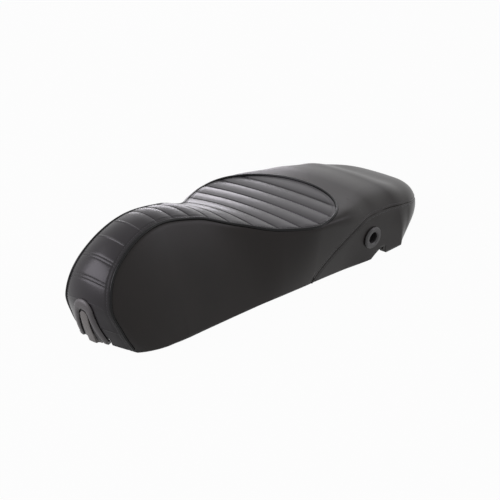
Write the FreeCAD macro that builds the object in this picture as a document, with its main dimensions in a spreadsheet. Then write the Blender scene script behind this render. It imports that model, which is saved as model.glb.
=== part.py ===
"""Dual seat of a motor scooter, as a parametric document.

The seat lies level on its four rubber buffers. X runs across, with +X on the rider's left.
Y runs from the nose at the front (-Y) to the tail (+Y), and +Z is up. Sizes are millimetres.

The padded form is one skin, swept through cross sections. Each section is a half outline:
a side wall up from the hem, a rounded shoulder and a crown to the centre line. Between the
nose axis and the tail axis the sections stand upright. Past them they fan forwards or back
about an axis below the rim, so that the nose and the tail close in a rounded end. A reach
is a height above that axis, measured in the section's own plane.
"""
import FreeCAD, Part
import math
import os
import re
import Sketcher

V = FreeCAD.Vector
ALONG_X = FreeCAD.Rotation(V(0, 1, 0), 90)
ALONG_Y = FreeCAD.Rotation(V(1, 0, 0), -90)
UPRIGHT = FreeCAD.Rotation()

# Section table: station, then half width at the base and at the edge, reach of the edge and of
# the centre line, cut-back of the rounded shoulder and bulge of the side wall
FIELDS = ("station", "base", "edge", "edge_reach", "centre_reach", "shoulder", "bulge")

# Stations of the nose in degrees forward of upright
NOSE = {
    "lip": (90, 82, 58, 72, 100, 16, 4),
    "toe": (70, 82, 58, 91, 121, 16, 5),
    "shin": (56, 82, 55.5, 128, 154, 13, 6),
    "brow": (47.5, 82, 50, 161, 174, 11, 7),
    "crest": (29, 84, 40, 189, 199, 9, 8),
    "hump": (0, 86, 34, 201, 209, 9, 8),
}

# Stations of the middle in millimetres along the seat
MIDDLE = {
    "neck": (-158, 89, 41, 189, 197, 9, 8),
    "thigh": (-92, 92, 63, 161, 170, 9, 6),
    "flare": (-36, 93, 103, 143, 152, 9, 4),
    "hip": (24, 95, 129, 136, 144, 10, 3),
    "ledge": (83, 101, 133.5, 135, 141, 22.5, 3),
    "pillion": (150, 114, 127, 127.5, 140, 45, 3),
}

# Stations of the tail in degrees back from upright
TAIL = {
    "rump": (0, 117, 121, 116, 127, 52, 3),
    "slope": (20, 108, 120.5, 112.5, 118, 56, 2),
    "turn": (50, 94, 92.5, 128, 135.5, 65, 2),
    "face": (68, 79, 64, 108, 150, 68, 2),
    "tuck": (78, 76, 62, 96, 132, 66, 2),
    "hem": (90, 70, 56, 80, 100, 60, 2),
}

SIZES = {
    # Frame of the sections
    "nose_axis_y": -225,
    "tail_axis_y": 215,
    "axis_drop": 30,
    "nose_wrap": 183,
    "tail_wrap": 140,
    "skirt_reach": 10,
    "rim_height": 2.5,
    "least_shoulder": 0.4,
    "widest_crown": 0.9,
    # Cover, hem and fits
    "cover_thickness": 2,
    "hem_thickness": 1.6,
    "hem_width": 13,
    "fit_gap": 0.3,
    "arch_rise": 20,
    "arch_half_width": 58,
    "arch_back_y": -296,
    # Pleated insert and its piping
    "insert_thickness": 8,
    "pleat_pitch": 31,
    "pleat_count": 18,
    "last_pleat_y": 86,
    "pleat_depth": 4,
    "nose_pleat_depth": 1.5,
    "pleat_fade": 0.6,
    "insert_lip_angle": 89,
    "tip_length": 97,
    "tip_fullness": 2.2,
    "piping_radius": 2.4,
    "piping_stand": 0.5,
    "piping_fit": 1.4,
    "piping_end_angle": 68,
    # Seam of the tail panel, seen from the side
    "tail_seam_front_y": 24,
    "tail_seam_height": 78.5,
    "tail_seam_run": 104,
    "tail_seam_fullness": 1.4,
    "tail_seam_fall": 54,
    "tail_seam_fall_run": 232,
    "tail_seam_fall_power": 1.6,
    "seam_gap": 0.6,
    # Pan
    "pan_depth": 27,
    "plate_thickness": 3,
    "pan_wall": 3,
    "flange_width": 13,
    "flange_thickness": 3,
    "rib_height": 8,
    "rib_thickness": 3,
    "rib_pitch": 70,
    "rib_count": 6,
    "first_rib_y": -180,
    "long_rib_x": 40,
    "long_rib_length": 440,
    "boss_radius": 6,
    "boss_height": 8,
    "screw_radius": 2.5,
    "screw_fit": 0.2,
    "screw_head_radius": 5,
    "screw_head_height": 3.5,
    "washer_radius": 6,
    "washer_thickness": 1.2,
    "notch_front_y": 145,
    "notch_length": 33,
    "notch_height": 14,
    "notch_bend_y": 15,
    "notch_bend_height": 10,
    "notch_flat": 4,
    # Handle sockets
    "handle_y": 142,
    "handle_height": 41,
    "bezel_radius": 18,
    "bezel_stand": 4,
    "bezel_edge": 2,
    "handle_bore": 9,
    "spigot_wall": 2,
    "spigot_length": 9,
    "sleeve_wall": 2,
    "sleeve_depth": 46,
    "sleeve_flange": 3,
    "sleeve_seat": 1,
    # Bracket for the hinge of the scooter body
    "leaf_front_y": -292,
    "leaf_width": 84,
    "leaf_length": 46,
    "leaf_thickness": 3,
    "leaf_bolt_edge": 16,
    "leaf_bolt_x": 20,
    "leaf_bolt_pitch": 26,
    "post_x": 33,
    "post_edge": 29,
    "post_radius": 7,
    "post_height": 10,
    "hinge_bore": 3.3,
    # Latch striker
    "striker_y": 216,
    "striker_half_gap": 13,
    "striker_wire": 3.5,
    "striker_clear": 1.5,
    "striker_plate_width": 70,
    "striker_plate_length": 34,
    "striker_plate_thickness": 3,
    "striker_bolt_x": 26,
    # Buffers
    "buffer_radius": 10,
    "buffer_height": 13,
    "buffer_chamfer": 1.5,
    "buffer_stem": 4,
    "buffer_stem_length": 9,
    "front_buffer_x": 52,
    "front_buffer_y": -205,
    "rear_buffer_x": 75,
    "rear_buffer_y": 128,
    # Folding bag hook
    "hook_pivot_y": -336.5,
    "hook_pivot_height": 20,
    "hook_stand": 7,
    "hook_gap": 0.6,
    "hook_foot_half": 32,
    "hook_foot_inner": 21.5,
    "hook_arch_radius": 21.3,
    "hook_inner_radius": 9.8,
    "hook_arch_height": 68,
    "hook_inner_height": 62,
    "hook_eye": 5,
    "hook_pin": 2,
    "hook_pin_fit": 0.05,
    "pocket_half": 34,
    "pocket_top": 31.5,
    "pocket_back_y": -322,
    "base_half": 15,
    "base_recess": 2,
    "base_bottom": 13,
    "base_foot_length": 28,
    "base_foot_thickness": 4,
    "tongue_half": 8.5,
    "tongue_stand": 3.5,
    "tongue_top": 69,
    "base_screw_x": 11,
    "base_screw_y": -307,
    # Staples of the hem
    "staple_width": 10,
    "staple_wire": 1,
    "staple_leg": 4,
    "staple_pitch": 62,
    "staple_count": 8,
    "first_staple_y": -235,
    "staple_inset": 9,
}

doc = FreeCAD.newDocument("ScooterSeat")
sheet = doc.addObject("Spreadsheet::Sheet", "Sizes")


def fill_sheet():
    """Write every driving size to the sheet, one row each, with its alias."""
    rows = dict(SIZES)
    for group, sections in (("nose", NOSE), ("mid", MIDDLE), ("tail", TAIL)):
        for name, values in sections.items():
            for field, value in zip(FIELDS, values):
                rows[f"{group}_{name}_{field}"] = value
    for row, (alias, value) in enumerate(rows.items(), start=1):
        sheet.set(f"A{row}", alias)
        sheet.set(f"B{row}", str(value))
        sheet.setAlias(f"B{row}", alias)
    doc.recompute()


fill_sheet()


def size(alias):
    """Return one driving size from the sheet."""
    return float(sheet.get(alias))


AXIS_Z = size("rim_height") - size("axis_drop")
RIM_Z = size("rim_height")
PLATE_TOP = RIM_Z + size("pan_depth")
PLATE_UNDER = PLATE_TOP - size("plate_thickness")


def station_table():
    """Return the section table as rows sorted along the seat, with stations in millimetres."""
    rows = []
    for group, sections in (("nose", NOSE), ("mid", MIDDLE), ("tail", TAIL)):
        for name in sections:
            row = [size(f"{group}_{name}_{field}") for field in FIELDS]
            if group == "nose":
                row[0] = nose_station(row[0])
            if group == "tail":
                row[0] = tail_station(row[0])
            rows.append(row)
    return sorted(rows)


def nose_station(degrees):
    """Return the station of a nose section that leans forward by an angle."""
    return size("nose_axis_y") - size("nose_wrap") * math.radians(degrees)


def tail_station(degrees):
    """Return the station of a tail section that leans back by an angle."""
    return size("tail_axis_y") + size("tail_wrap") * math.radians(degrees)


TABLE = station_table()


def slope_at(index, xs, ys):
    """Return the slope of a monotone cubic at one of its points."""
    if index == 0:
        return (ys[1] - ys[0]) / (xs[1] - xs[0])
    if index == len(xs) - 1:
        return (ys[-1] - ys[-2]) / (xs[-1] - xs[-2])
    before = (ys[index] - ys[index - 1]) / (xs[index] - xs[index - 1])
    after = (ys[index + 1] - ys[index]) / (xs[index + 1] - xs[index])
    if before * after <= 0:
        return 0.0
    near = 2 * (xs[index + 1] - xs[index]) + (xs[index] - xs[index - 1])
    far = (xs[index + 1] - xs[index]) + 2 * (xs[index] - xs[index - 1])
    return (near + far) / (near / before + far / after)


def between(x, xs, ys):
    """Return a smooth value at x, through points that don't overshoot."""
    index = 0
    while index < len(xs) - 2 and x > xs[index + 1]:
        index += 1
    span = xs[index + 1] - xs[index]
    t = (x - xs[index]) / span
    start = ys[index] * (1 + 2 * t) * (1 - t) ** 2
    start += slope_at(index, xs, ys) * span * t * (1 - t) ** 2
    end = ys[index + 1] * t * t * (3 - 2 * t)
    end += slope_at(index + 1, xs, ys) * span * t * t * (t - 1)
    return start + end


class Section:
    """Half outline of the skin at one station, moved in by an inset."""

    def __init__(self, station, inset=0.0):
        stations = [row[0] for row in TABLE]
        values = []
        for column in range(1, len(FIELDS)):
            values.append(between(station, stations, [row[column] for row in TABLE]))
        base, edge, edge_reach, centre_reach, shoulder, bulge = values
        self.station = station
        self.base = base - inset
        self.edge = edge - inset
        self.edge_reach = edge_reach - inset
        self.centre_reach = centre_reach - inset
        self.shoulder = max(shoulder - inset / 2, shoulder * size("least_shoulder"))
        self.bulge = bulge
        self.foot = size("skirt_reach")
        self.wall_length = math.hypot(self.edge - self.base, self.edge_reach - self.foot)
        self.wall_end = 1 - self.shoulder / self.wall_length
        self.crown_start = min(self.shoulder / self.edge, size("widest_crown"))

    def wall(self, t):
        """Return half width and reach on the side wall, from the base (0) to the edge (1)."""
        push = 4 * t * (1 - t) * self.bulge / self.wall_length
        x = self.base + (self.edge - self.base) * t + (self.edge_reach - self.foot) * push
        reach = self.foot + (self.edge_reach - self.foot) * t - (self.edge - self.base) * push
        return x, reach

    def crown(self, t):
        """Return half width and reach on the crown, from the edge (0) to the centre (1)."""
        x = self.edge * (1 - t)
        drop = self.centre_reach - self.edge_reach
        return x, self.centre_reach - drop * (1 - t) ** 2

    def rounding(self, t):
        """Return half width and reach on the rounded shoulder, from the wall (0) to the crown (1)."""
        start = self.wall(self.wall_end)
        end = self.crown(self.crown_start)
        corner = (self.edge, self.edge_reach)
        return tuple((1 - t) ** 2 * a + 2 * t * (1 - t) * b + t * t * c
                     for a, b, c in zip(start, corner, end))

    def outline(self, wall_steps=5, rounding_steps=4, crown_steps=5):
        """Return the half outline as points from the base up to the centre line."""
        points = [self.wall(self.wall_end * i / wall_steps) for i in range(wall_steps)]
        points += [self.rounding(i / rounding_steps) for i in range(rounding_steps)]
        run = 1 - self.crown_start
        points += [self.crown(self.crown_start + run * i / crown_steps) for i in range(crown_steps + 1)]
        return points

    def reach_at(self, x):
        """Return the reach of the crown or the shoulder at a half width."""
        if x <= self.crown(self.crown_start)[0]:
            return self.crown(1 - x / self.edge)[1]
        low, high = 0.0, 1.0
        for _ in range(40):
            middle = (low + high) / 2
            if self.rounding(middle)[0] > x:
                low = middle
            else:
                high = middle
        return self.rounding(low)[1]

    def lean_at(self, x):
        """Return how far the skin's normal leans out for each step up, at a half width."""
        step = 0.5
        fall = self.reach_at(x - step) - self.reach_at(min(x + step, self.rounding(0.1)[0]))
        return min(fall / (2 * step), 1.0)

    def half_at(self, reach):
        """Return the half width of the side wall at a reach."""
        low, high = 0.0, 1.0
        for _ in range(40):
            middle = (low + high) / 2
            if self.wall(middle)[1] < reach:
                low = middle
            else:
                high = middle
        return self.wall(low)[0]


def in_space(station, x, reach):
    """Return the point at a half width and a reach in the plane of a station."""
    nose_y = size("nose_axis_y")
    tail_y = size("tail_axis_y")
    if station < nose_y:
        lean = (nose_y - station) / size("nose_wrap")
        return V(x, nose_y - reach * math.sin(lean), AXIS_Z + reach * math.cos(lean))
    if station > tail_y:
        lean = (station - tail_y) / size("tail_wrap")
        return V(x, tail_y + reach * math.sin(lean), AXIS_Z + reach * math.cos(lean))
    return V(x, station, AXIS_Z + reach)


def even_stations(nose_steps=20, middle_steps=18, tail_steps=14):
    """Return stations from the lip of the nose to the hem of the tail."""
    marks = ((nose_station(size("nose_lip_station")), size("nose_axis_y"), nose_steps),
             (size("nose_axis_y"), size("tail_axis_y"), middle_steps),
             (size("tail_axis_y"), tail_station(size("tail_hem_station")), tail_steps))
    stations = []
    for start, end, steps in marks:
        stations += [start + (end - start) * i / steps for i in range(steps)]
    return stations + [marks[-1][1]]


def clamped_knots(count, degree=3):
    """Return knots and multiplicities of a clamped spline with a number of poles."""
    multiplicities = [degree + 1] + [1] * (count - degree - 1) + [degree + 1]
    return [float(i) for i in range(len(multiplicities))], multiplicities


def net_surface(grid):
    """Return the smooth cubic surface whose control net is a grid of points."""
    along_knots, along_multiplicities = clamped_knots(len(grid))
    across_knots, across_multiplicities = clamped_knots(len(grid[0]))
    surface = Part.BSplineSurface()
    surface.buildFromPolesMultsKnots(grid, along_multiplicities, across_multiplicities,
                                     along_knots, across_knots, False, False, 3, 3)
    return surface


def patches(surface, along_parts=4, across_parts=2):
    """Return the faces of a net surface and of the ends and floor that close it."""
    along = surface.getUKnots()
    across = surface.getVKnots()
    rows = [along[round(i * (len(along) - 1) / along_parts)] for i in range(along_parts + 1)]
    columns = [across[round(i * (len(across) - 1) / across_parts)] for i in range(across_parts + 1)]
    faces = []
    for start, end in zip(rows, rows[1:]):
        for first, last in zip(columns, columns[1:]):
            patch = surface.copy()
            patch.segment(start, end, first, last)
            faces.append(patch.toShape())
        hems = [surface.vIso(columns[0]), surface.vIso(columns[-1])]
        for hem in hems:
            hem.segment(start, end)
        faces.append(Part.makeRuledSurface(hems[0].toShape(), hems[1].toShape()))
    for row in (rows[0], rows[-1]):
        edges = []
        for first, last in zip(columns, columns[1:]):
            curve = surface.uIso(row)
            curve.segment(first, last)
            edges.append(curve.toShape())
        ends = edges[-1].valueAt(edges[-1].LastParameter), edges[0].valueAt(edges[0].FirstParameter)
        faces.append(Part.Face(Part.Wire(edges + [Part.makeLine(*ends)])))
    return faces


def skin_solid(stations, inset_at):
    """Return the closed solid under the skin, with an inset that may change along the seat."""
    grid = []
    for station in stations:
        half = Section(station, inset_at(station)).outline()
        right = [in_space(station, x, reach) for x, reach in half]
        left = [in_space(station, -x, reach) for x, reach in half[-2::-1]]
        grid.append(right + left)
    shell = Part.Shell(patches(net_surface(grid)))
    shell.sewShape()
    solid = Part.Solid(shell)
    if solid.Volume < 0:
        solid.reverse()
    return solid


# Document helpers


def bound(text):
    """Return an expression in which every alias is read from the sheet."""
    return re.sub(r"[a-z][a-z_]+", lambda word: f"Sizes.{word.group(0)}", str(text))


def bind(item, **expressions):
    """Bind properties of an object to expressions in the sizes."""
    for name, text in expressions.items():
        item.setExpression(name, bound(text))
    return item


def place(item, x, y, z, rotation=UPRIGHT):
    """Turn an object and bind its place to expressions in the sizes."""
    item.Placement = FreeCAD.Placement(V(), rotation)
    for axis, text in zip("xyz", (x, y, z)):
        item.setExpression(f"Placement.Base.{axis}", bound(text))
    return item


def named(kind, label):
    """Add an object whose label is its name."""
    item = doc.addObject(kind, label)
    item.Label = label
    return item


def feature(label, shape):
    """Add an object that holds a shape made from the sizes."""
    item = named("Part::Feature", label)
    item.Shape = shape
    item.Placement = FreeCAD.Placement()
    return item


def block(label, x, y, z):
    """Add a box between pairs of expressions along each axis."""
    item = named("Part::Box", label)
    spans = [f"({end}) - ({start})" for start, end in (x, y, z)]
    bind(item, Length=spans[0], Width=spans[1], Height=spans[2])
    return place(item, x[0], y[0], z[0])


def rod(label, radius, height, x, y, z, rotation=UPRIGHT):
    """Add a cylinder that starts at a point and runs along a turned Z axis."""
    item = named("Part::Cylinder", label)
    bind(item, Radius=radius, Height=height)
    return place(item, x, y, z, rotation)


def fused(label, items):
    """Add the union of objects."""
    item = named("Part::MultiFuse", label)
    item.Shapes = items
    return item


def cut(label, base, tool):
    """Add a base with a tool taken away."""
    item = named("Part::Cut", label)
    item.Base = base
    item.Tool = tool
    return item


def common(label, first, second):
    """Add what two objects share."""
    item = named("Part::MultiCommon", label)
    item.Shapes = [first, second]
    return item


def group(label, items):
    """Add separate solids as one compound."""
    item = named("Part::Compound", label)
    item.Links = items
    return item


def turned(label, profile):
    """Add a body turned about Z from a closed profile of radius and height expressions."""
    body = named("PartDesign::Body", label)
    plane = next(p for p in body.Origin.OriginFeatures if p.Role == "XZ_Plane")
    sketch = body.newObject("Sketcher::SketchObject", f"{label}_profile")
    sketch.AttachmentSupport = (plane, "")
    sketch.MapMode = "FlatFace"
    values = [(value_of(radius), value_of(height)) for radius, height in profile]
    count = len(values)
    for index, (radius, height) in enumerate(values):
        end = values[(index + 1) % count]
        sketch.addGeometry(Part.LineSegment(V(radius, height, 0), V(end[0], end[1], 0)))
    for index in range(count):
        sketch.addConstraint(Sketcher.Constraint("Coincident", index, 2, (index + 1) % count, 1))
    for index, texts in enumerate(profile):
        for kind, text in zip(("DistanceX", "DistanceY"), texts):
            if value_of(text) == 0:
                axis = -2 if kind == "DistanceX" else -1
                sketch.addConstraint(Sketcher.Constraint("PointOnObject", index, 1, axis))
                continue
            number = sketch.addConstraint(
                Sketcher.Constraint(kind, -1, 1, index, 1, value_of(text)))
            sketch.setExpression(f"Constraints[{number}]", bound(text))
    revolution = body.newObject("PartDesign::Revolution", f"{label}_turn")
    revolution.Profile = sketch
    revolution.ReferenceAxis = (sketch, ["V_Axis"])
    revolution.Angle = 360
    body.Tip = revolution
    return body


def value_of(text):
    """Return the value of a sum of sizes written as an expression."""
    total = 0.0
    for sign, word in re.findall(r"([+-]?)\s*([a-z_]+|[0-9.]+)", str(text)):
        amount = size(word) if word[0].isalpha() else float(word)
        total += -amount if sign == "-" else amount
    return total


def derive(alias, value):
    """Write a size that is worked out from the others to the sheet."""
    row = len(SIZES) + len(FIELDS) * (len(NOSE) + len(MIDDLE) + len(TAIL)) + len(derived) + 1
    derived.append(alias)
    sheet.set(f"A{row}", alias)
    sheet.set(f"B{row}", str(round(value, 4)))
    sheet.setAlias(f"B{row}", alias)
    sheet.recompute()


derived = []
derive("pan_rim", RIM_Z + size("hem_thickness") + size("fit_gap"))
derive("plate_top", PLATE_TOP)
derive("plate_under", PLATE_UNDER)
derive("seat_half", max(row[2] for row in TABLE) + size("hook_stand") + size("fit_gap"))
derive("seat_top", max(row[4] for row in TABLE) + size("axis_drop"))
derive("seat_front", size("nose_axis_y") - max(row[4] for row in TABLE))
derive("seat_back", size("tail_axis_y") + max(row[4] for row in TABLE))

STATIONS = even_stations()
SPAN_X = ("-seat_half", "seat_half")
SPAN_Y = ("seat_front", "seat_back")


def skin(label, inset):
    """Add the solid under the skin at an inset."""
    return feature(label, skin_solid(STATIONS, lambda station: inset))


def slab(label, low, high):
    """Add a block as wide and long as the seat between two heights."""
    return block(label, SPAN_X, SPAN_Y, (low, high))


# Skins, from the outside in
GAP = size("fit_gap")
COVER = size("cover_thickness")
INSERT = size("insert_thickness")
outer_skin = skin("outer_skin", 0)
cover_lining = skin("cover_lining", COVER)
padding_skin = skin("padding_skin", COVER + GAP)
pan_lining = skin("pan_lining", COVER + GAP + size("pan_wall"))
hem_line = skin("hem_line", COVER + GAP + size("hem_width"))
flange_line = skin("flange_line", COVER + GAP + size("flange_width"))
insert_under = skin("insert_under", INSERT)
recess_floor = skin("recess_floor", INSERT + GAP)


def pleat_inset(station):
    """Return how far the pleated skin is drawn in at a station."""
    pitch = size("pleat_pitch")
    steps = (size("last_pleat_y") - station) / pitch
    if steps > size("pleat_count") - 1 or steps < 0:
        distance = min(abs(steps), abs(steps - size("pleat_count") + 1), 0.5)
    else:
        distance = abs(steps - round(steps))
    nose_share = min(max((size("nose_axis_y") - station) / size("nose_wrap") / size("pleat_fade"), 0), 1)
    depth = size("pleat_depth") + (size("nose_pleat_depth") - size("pleat_depth")) * nose_share
    return depth * (1 - 2 * distance) ** 2


def pleat_stations():
    """Return stations that follow every pleat of the insert, from its lip past its tip."""
    pitch = size("pleat_pitch")
    first = size("last_pleat_y") - pitch * (size("pleat_count") - 1)
    count = int(size("pleat_count")) - 1
    lip = nose_station(size("nose_lip_station"))
    stations = [lip + (first - lip) * i / 4 for i in range(4)]
    steps = (0, 0.09, 0.25, 0.5, 0.75, 0.91)
    stations += [first + pitch * (i + step) for i in range(count) for step in steps]
    last = size("last_pleat_y")
    stations += [last + pitch * step for step in (0, 0.09, 0.25, 0.5, 1, 1.6, 2.2)]
    return stations


pleated_skin = feature("pleated_skin", skin_solid(pleat_stations(), pleat_inset))


def piping_half(station):
    """Return the half width of the piping line on the shoulder."""
    return Section(station).rounding(0.5)[0]


HIP_Y = size("mid_hip_station")


def tip_points(count=24):
    """Return the plan of the piping round the insert's tip, from +X round to -X."""
    half = piping_half(HIP_Y)
    length = size("tip_length")
    power = 2 / size("tip_fullness")
    points = []
    for i in range(count + 1):
        angle = math.pi * i / count
        x = math.copysign(abs(math.cos(angle)) ** power, math.cos(angle)) * half
        points.append(V(x, HIP_Y + length * math.sin(angle) ** power, 0))
    return points


def tip_zone(label, margin, depth):
    """Add the space inside the piping round the tip, with walls square to the skin."""
    plan = tip_points()
    lines = []
    for i, point in enumerate(plan):
        section = Section(point.y)
        way = plan[min(i + 1, len(plan) - 1)] - plan[max(i - 1, 0)]
        outward = V(way.y, -way.x, 0).normalize()
        side = math.copysign(1, point.x)
        lean = section.lean_at(abs(point.x)) * side
        foot = V(point.x, point.y, AXIS_Z + section.reach_at(abs(point.x)))
        lines.append((foot + outward * margin * math.hypot(1, lean), lean))
    heights = [foot.z for foot, lean in lines]
    wires = []
    for level in (min(heights) - depth, max(heights) + depth):
        row = [V(foot.x + lean * (level - foot.z), foot.y, level) for foot, lean in lines]
        row[0].y = row[-1].y = HIP_Y
        curve = Part.BSplineCurve()
        curve.interpolate(row)
        edge = curve.toShape()
        wires.append(Part.Wire([edge, Part.makeLine(row[-1], row[0])]))
    return feature(label, Part.makeLoft(wires, True, True))


def insert_zone(label, margin, depth):
    """Add the space inside the piping line, moved out by a margin, down to a depth."""
    start = nose_station(size("insert_lip_angle"))
    steps = 24
    wires = []
    for i in range(steps + 1):
        station = start + (HIP_Y - start) * i / steps
        section = Section(station)
        x, reach = section.rounding(0.5)
        lean = section.lean_at(x)
        floor = min(reach, section.reach_at(0)) - depth
        x += margin * math.hypot(1, lean)
        low = (x - lean * (reach - floor), floor)
        high = (x + lean * depth, reach + depth)
        top = (high[0], max(reach, section.reach_at(0)) + 3 * depth)
        right = [low, high, top]
        left = [(-px, pr) for px, pr in reversed(right)]
        wires.append(Part.makePolygon([in_space(station, *p) for p in right + left + right[:1]]))
    nose = feature(f"{label}_nose", Part.makeLoft(wires, True))
    return fused(label, [nose, tip_zone(f"{label}_tip", margin, depth)])


PIPING = size("piping_radius") + GAP
cover_opening = insert_zone("cover_opening", PIPING + size("piping_fit"), INSERT + 2 * GAP)
recess_zone = insert_zone("recess_zone", GAP - PIPING, INSERT + GAP)
insert_area = insert_zone("insert_area", -PIPING - GAP, INSERT)


def side_prism(label, edges):
    """Add a prism across the seat from closed edges drawn in the side view."""
    face = Part.Face(Part.Wire(Part.sortEdges(edges)[0]))
    half = size("seat_half")
    face.translate(V(-half, 0, 0))
    return feature(label, face.extrude(V(2 * half, 0, 0)))


def polyline(points):
    """Return the straight edges through points given as (y, z) in the side view."""
    return [Part.makeLine(V(0, *a), V(0, *b)) for a, b in zip(points, points[1:])]


def tail_zone(label, margin):
    """Add the space below the tail seam: a rounded front rise and a slow fall to the back."""
    front = size("tail_seam_front_y") + margin
    run = size("tail_seam_run")
    top = RIM_Z + size("tail_seam_height") - margin
    power = 2 / size("tail_seam_fullness")
    points = []
    steps = 12
    for i in range(steps + 1):
        angle = math.pi / 2 * i / steps
        y = front + run * (1 - math.cos(angle) ** power)
        points.append(V(0, y, RIM_Z + (top - RIM_Z) * math.sin(angle) ** power))
    for i in range(1, steps + 1):
        fall = size("tail_seam_fall") * (i / steps) ** size("tail_seam_fall_power")
        points.append(V(0, front + run + size("tail_seam_fall_run") * i / steps, top - fall))
    curve = Part.BSplineCurve()
    curve.interpolate(points)
    last = points[-1]
    back = size("seat_back")
    floor = RIM_Z - size("axis_drop")
    rest = [(last.y, last.z), (back, last.z), (back, floor), (front, floor), (front, RIM_Z)]
    return side_prism(label, [curve.toShape()] + polyline(rest))


main_side = tail_zone("main_side", 0)
tail_side = tail_zone("tail_side", size("seam_gap"))


def notch_prism():
    """Add the notch in the lower edge: a curved front rise and an upright back."""
    front = size("notch_front_y")
    back = front + size("notch_length")
    top = RIM_Z + size("notch_height")
    floor = RIM_Z - size("axis_drop") / 2
    bend = V(0, front + size("notch_bend_y"), RIM_Z + size("notch_bend_height"))
    crest = back - size("notch_flat")
    rise = Part.Arc(V(0, front, RIM_Z), bend, V(0, crest, top))
    rest = [(crest, top), (back, top), (back, floor), (front, floor)]
    return side_prism("rim_notch", [rise.toShape()] + polyline(rest + [(front, RIM_Z)]))


rim_notch = notch_prism()

# Arch under the nose
derive("arch_radius", (size("arch_half_width") ** 2 + size("arch_rise") ** 2) / (2 * size("arch_rise")))
arch = rod("nose_arch", "arch_radius", "arch_back_y - seat_front",
           "0", "seat_front", "rim_height + arch_rise - arch_radius", ALONG_Y)
pan_arch = rod("pan_arch", "arch_radius + hem_thickness + fit_gap", "arch_back_y + flange_width - seat_front",
               "0", "seat_front", "rim_height + arch_rise - arch_radius", ALONG_Y)

# Handle sockets: a socket stands square to the skin at its centre


def handle_seat():
    """Return the centre of the left handle socket on the skin and the way it faces."""
    reach = size("handle_height") + size("axis_drop")
    y = size("handle_y")
    step = 5
    centre = in_space(y, Section(y).half_at(reach), reach)
    along = in_space(y + step, Section(y + step).half_at(reach), reach) - centre
    up = in_space(y, Section(y).half_at(reach + step), reach + step) - centre
    return centre, along.cross(up).normalize()


HANDLE_CENTRE, HANDLE_WAY = handle_seat()
HANDLE_TURN = FreeCAD.Rotation(V(0, 0, 1), HANDLE_WAY)
MIRRORED_CENTRE = V(-HANDLE_CENTRE.x, HANDLE_CENTRE.y, HANDLE_CENTRE.z)
MIRRORED_TURN = FreeCAD.Rotation(V(0, 0, 1), V(-HANDLE_WAY.x, HANDLE_WAY.y, HANDLE_WAY.z))
SIDES = {"left": (HANDLE_CENTRE, HANDLE_TURN), "right": (MIRRORED_CENTRE, MIRRORED_TURN)}


def at_handle(item, side):
    """Move a turned object, drawn about Z, to the handle socket of a side."""
    item.Placement = FreeCAD.Placement(*SIDES[side])
    return item


def handle_bezel(side):
    """Add the ring of a handle socket, with the spigot that goes through the cover."""
    outer = "handle_bore + spigot_wall"
    rim = "bezel_radius"
    return at_handle(turned(f"handle_bezel_{side}", [
        ("handle_bore", "0 - spigot_length"),
        (outer, "0 - spigot_length"),
        (outer, "fit_gap"),
        (rim, "fit_gap"),
        (rim, "bezel_edge"),
        ("bezel_radius - bezel_edge", "bezel_stand"),
        ("handle_bore + bezel_edge", "bezel_stand"),
        ("handle_bore", "bezel_edge"),
    ]), side)


def handle_sleeve(side):
    """Add the blind sleeve that takes a grab handle, with a flange behind the cover."""
    inner = "handle_bore + spigot_wall + screw_fit"
    outer = "handle_bore + spigot_wall + screw_fit + sleeve_wall"
    return at_handle(turned(f"handle_sleeve_{side}", [
        (inner, "0 - cover_thickness - fit_gap - sleeve_seat"),
        (inner, "sleeve_wall - sleeve_depth"),
        ("0", "sleeve_wall - sleeve_depth"),
        ("0", "0 - sleeve_depth"),
        (outer, "0 - sleeve_depth"),
        (outer, "0 - cover_thickness - fit_gap - sleeve_seat - sleeve_wall"),
        (outer + " + sleeve_flange", "0 - cover_thickness - fit_gap - sleeve_seat - sleeve_wall"),
        (outer + " + sleeve_flange", "0 - cover_thickness - fit_gap - sleeve_seat"),
    ]), side)


def sleeve_room(side):
    """Add the room that a sleeve takes in the padding and the pan."""
    outer = "handle_bore + spigot_wall + screw_fit + sleeve_wall + fit_gap"
    tube = named("Part::Cylinder", f"sleeve_room_{side}")
    bind(tube, Radius=outer, Height="sleeve_depth + fit_gap")
    flange = named("Part::Cylinder", f"flange_room_{side}")
    bind(flange, Radius=outer + " + sleeve_flange",
         Height="cover_thickness + sleeve_seat + sleeve_wall + 2 * fit_gap")
    centre, turn = SIDES[side]
    way = turn.multVec(V(0, 0, 1))
    tube.Placement = FreeCAD.Placement(centre - way * (size("sleeve_depth") + GAP), turn)
    depth = COVER + size("sleeve_seat") + size("sleeve_wall") + 2 * GAP
    flange.Placement = FreeCAD.Placement(centre - way * depth, turn)
    return [tube, flange]


def cover_hole(side):
    """Add the hole in the cover for the spigot of a bezel."""
    hole = named("Part::Cylinder", f"cover_hole_{side}")
    bind(hole, Radius="handle_bore + spigot_wall + fit_gap", Height="4 * cover_thickness")
    centre, turn = SIDES[side]
    hole.Placement = FreeCAD.Placement(centre - turn.multVec(V(0, 0, 1)) * 2 * COVER, turn)
    return hole


bezels = [handle_bezel(side) for side in SIDES]
sleeves = [handle_sleeve(side) for side in SIDES]
sleeve_rooms = fused("sleeve_rooms", [room for side in SIDES for room in sleeve_room(side)])
cover_holes = fused("cover_holes", [cover_hole(side) for side in SIDES])

# Staples that hold the turned hem to the pan's flange


def staple_places():
    """Return the middle of each staple's crown, under the hem on both sides."""
    places = []
    for i in range(int(size("staple_count"))):
        y = size("first_staple_y") + size("staple_pitch") * i
        x = Section(y).half_at(size("axis_drop")) - size("staple_inset")
        places += [V(x, y, RIM_Z), V(-x, y, RIM_Z)]
    return places


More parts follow.
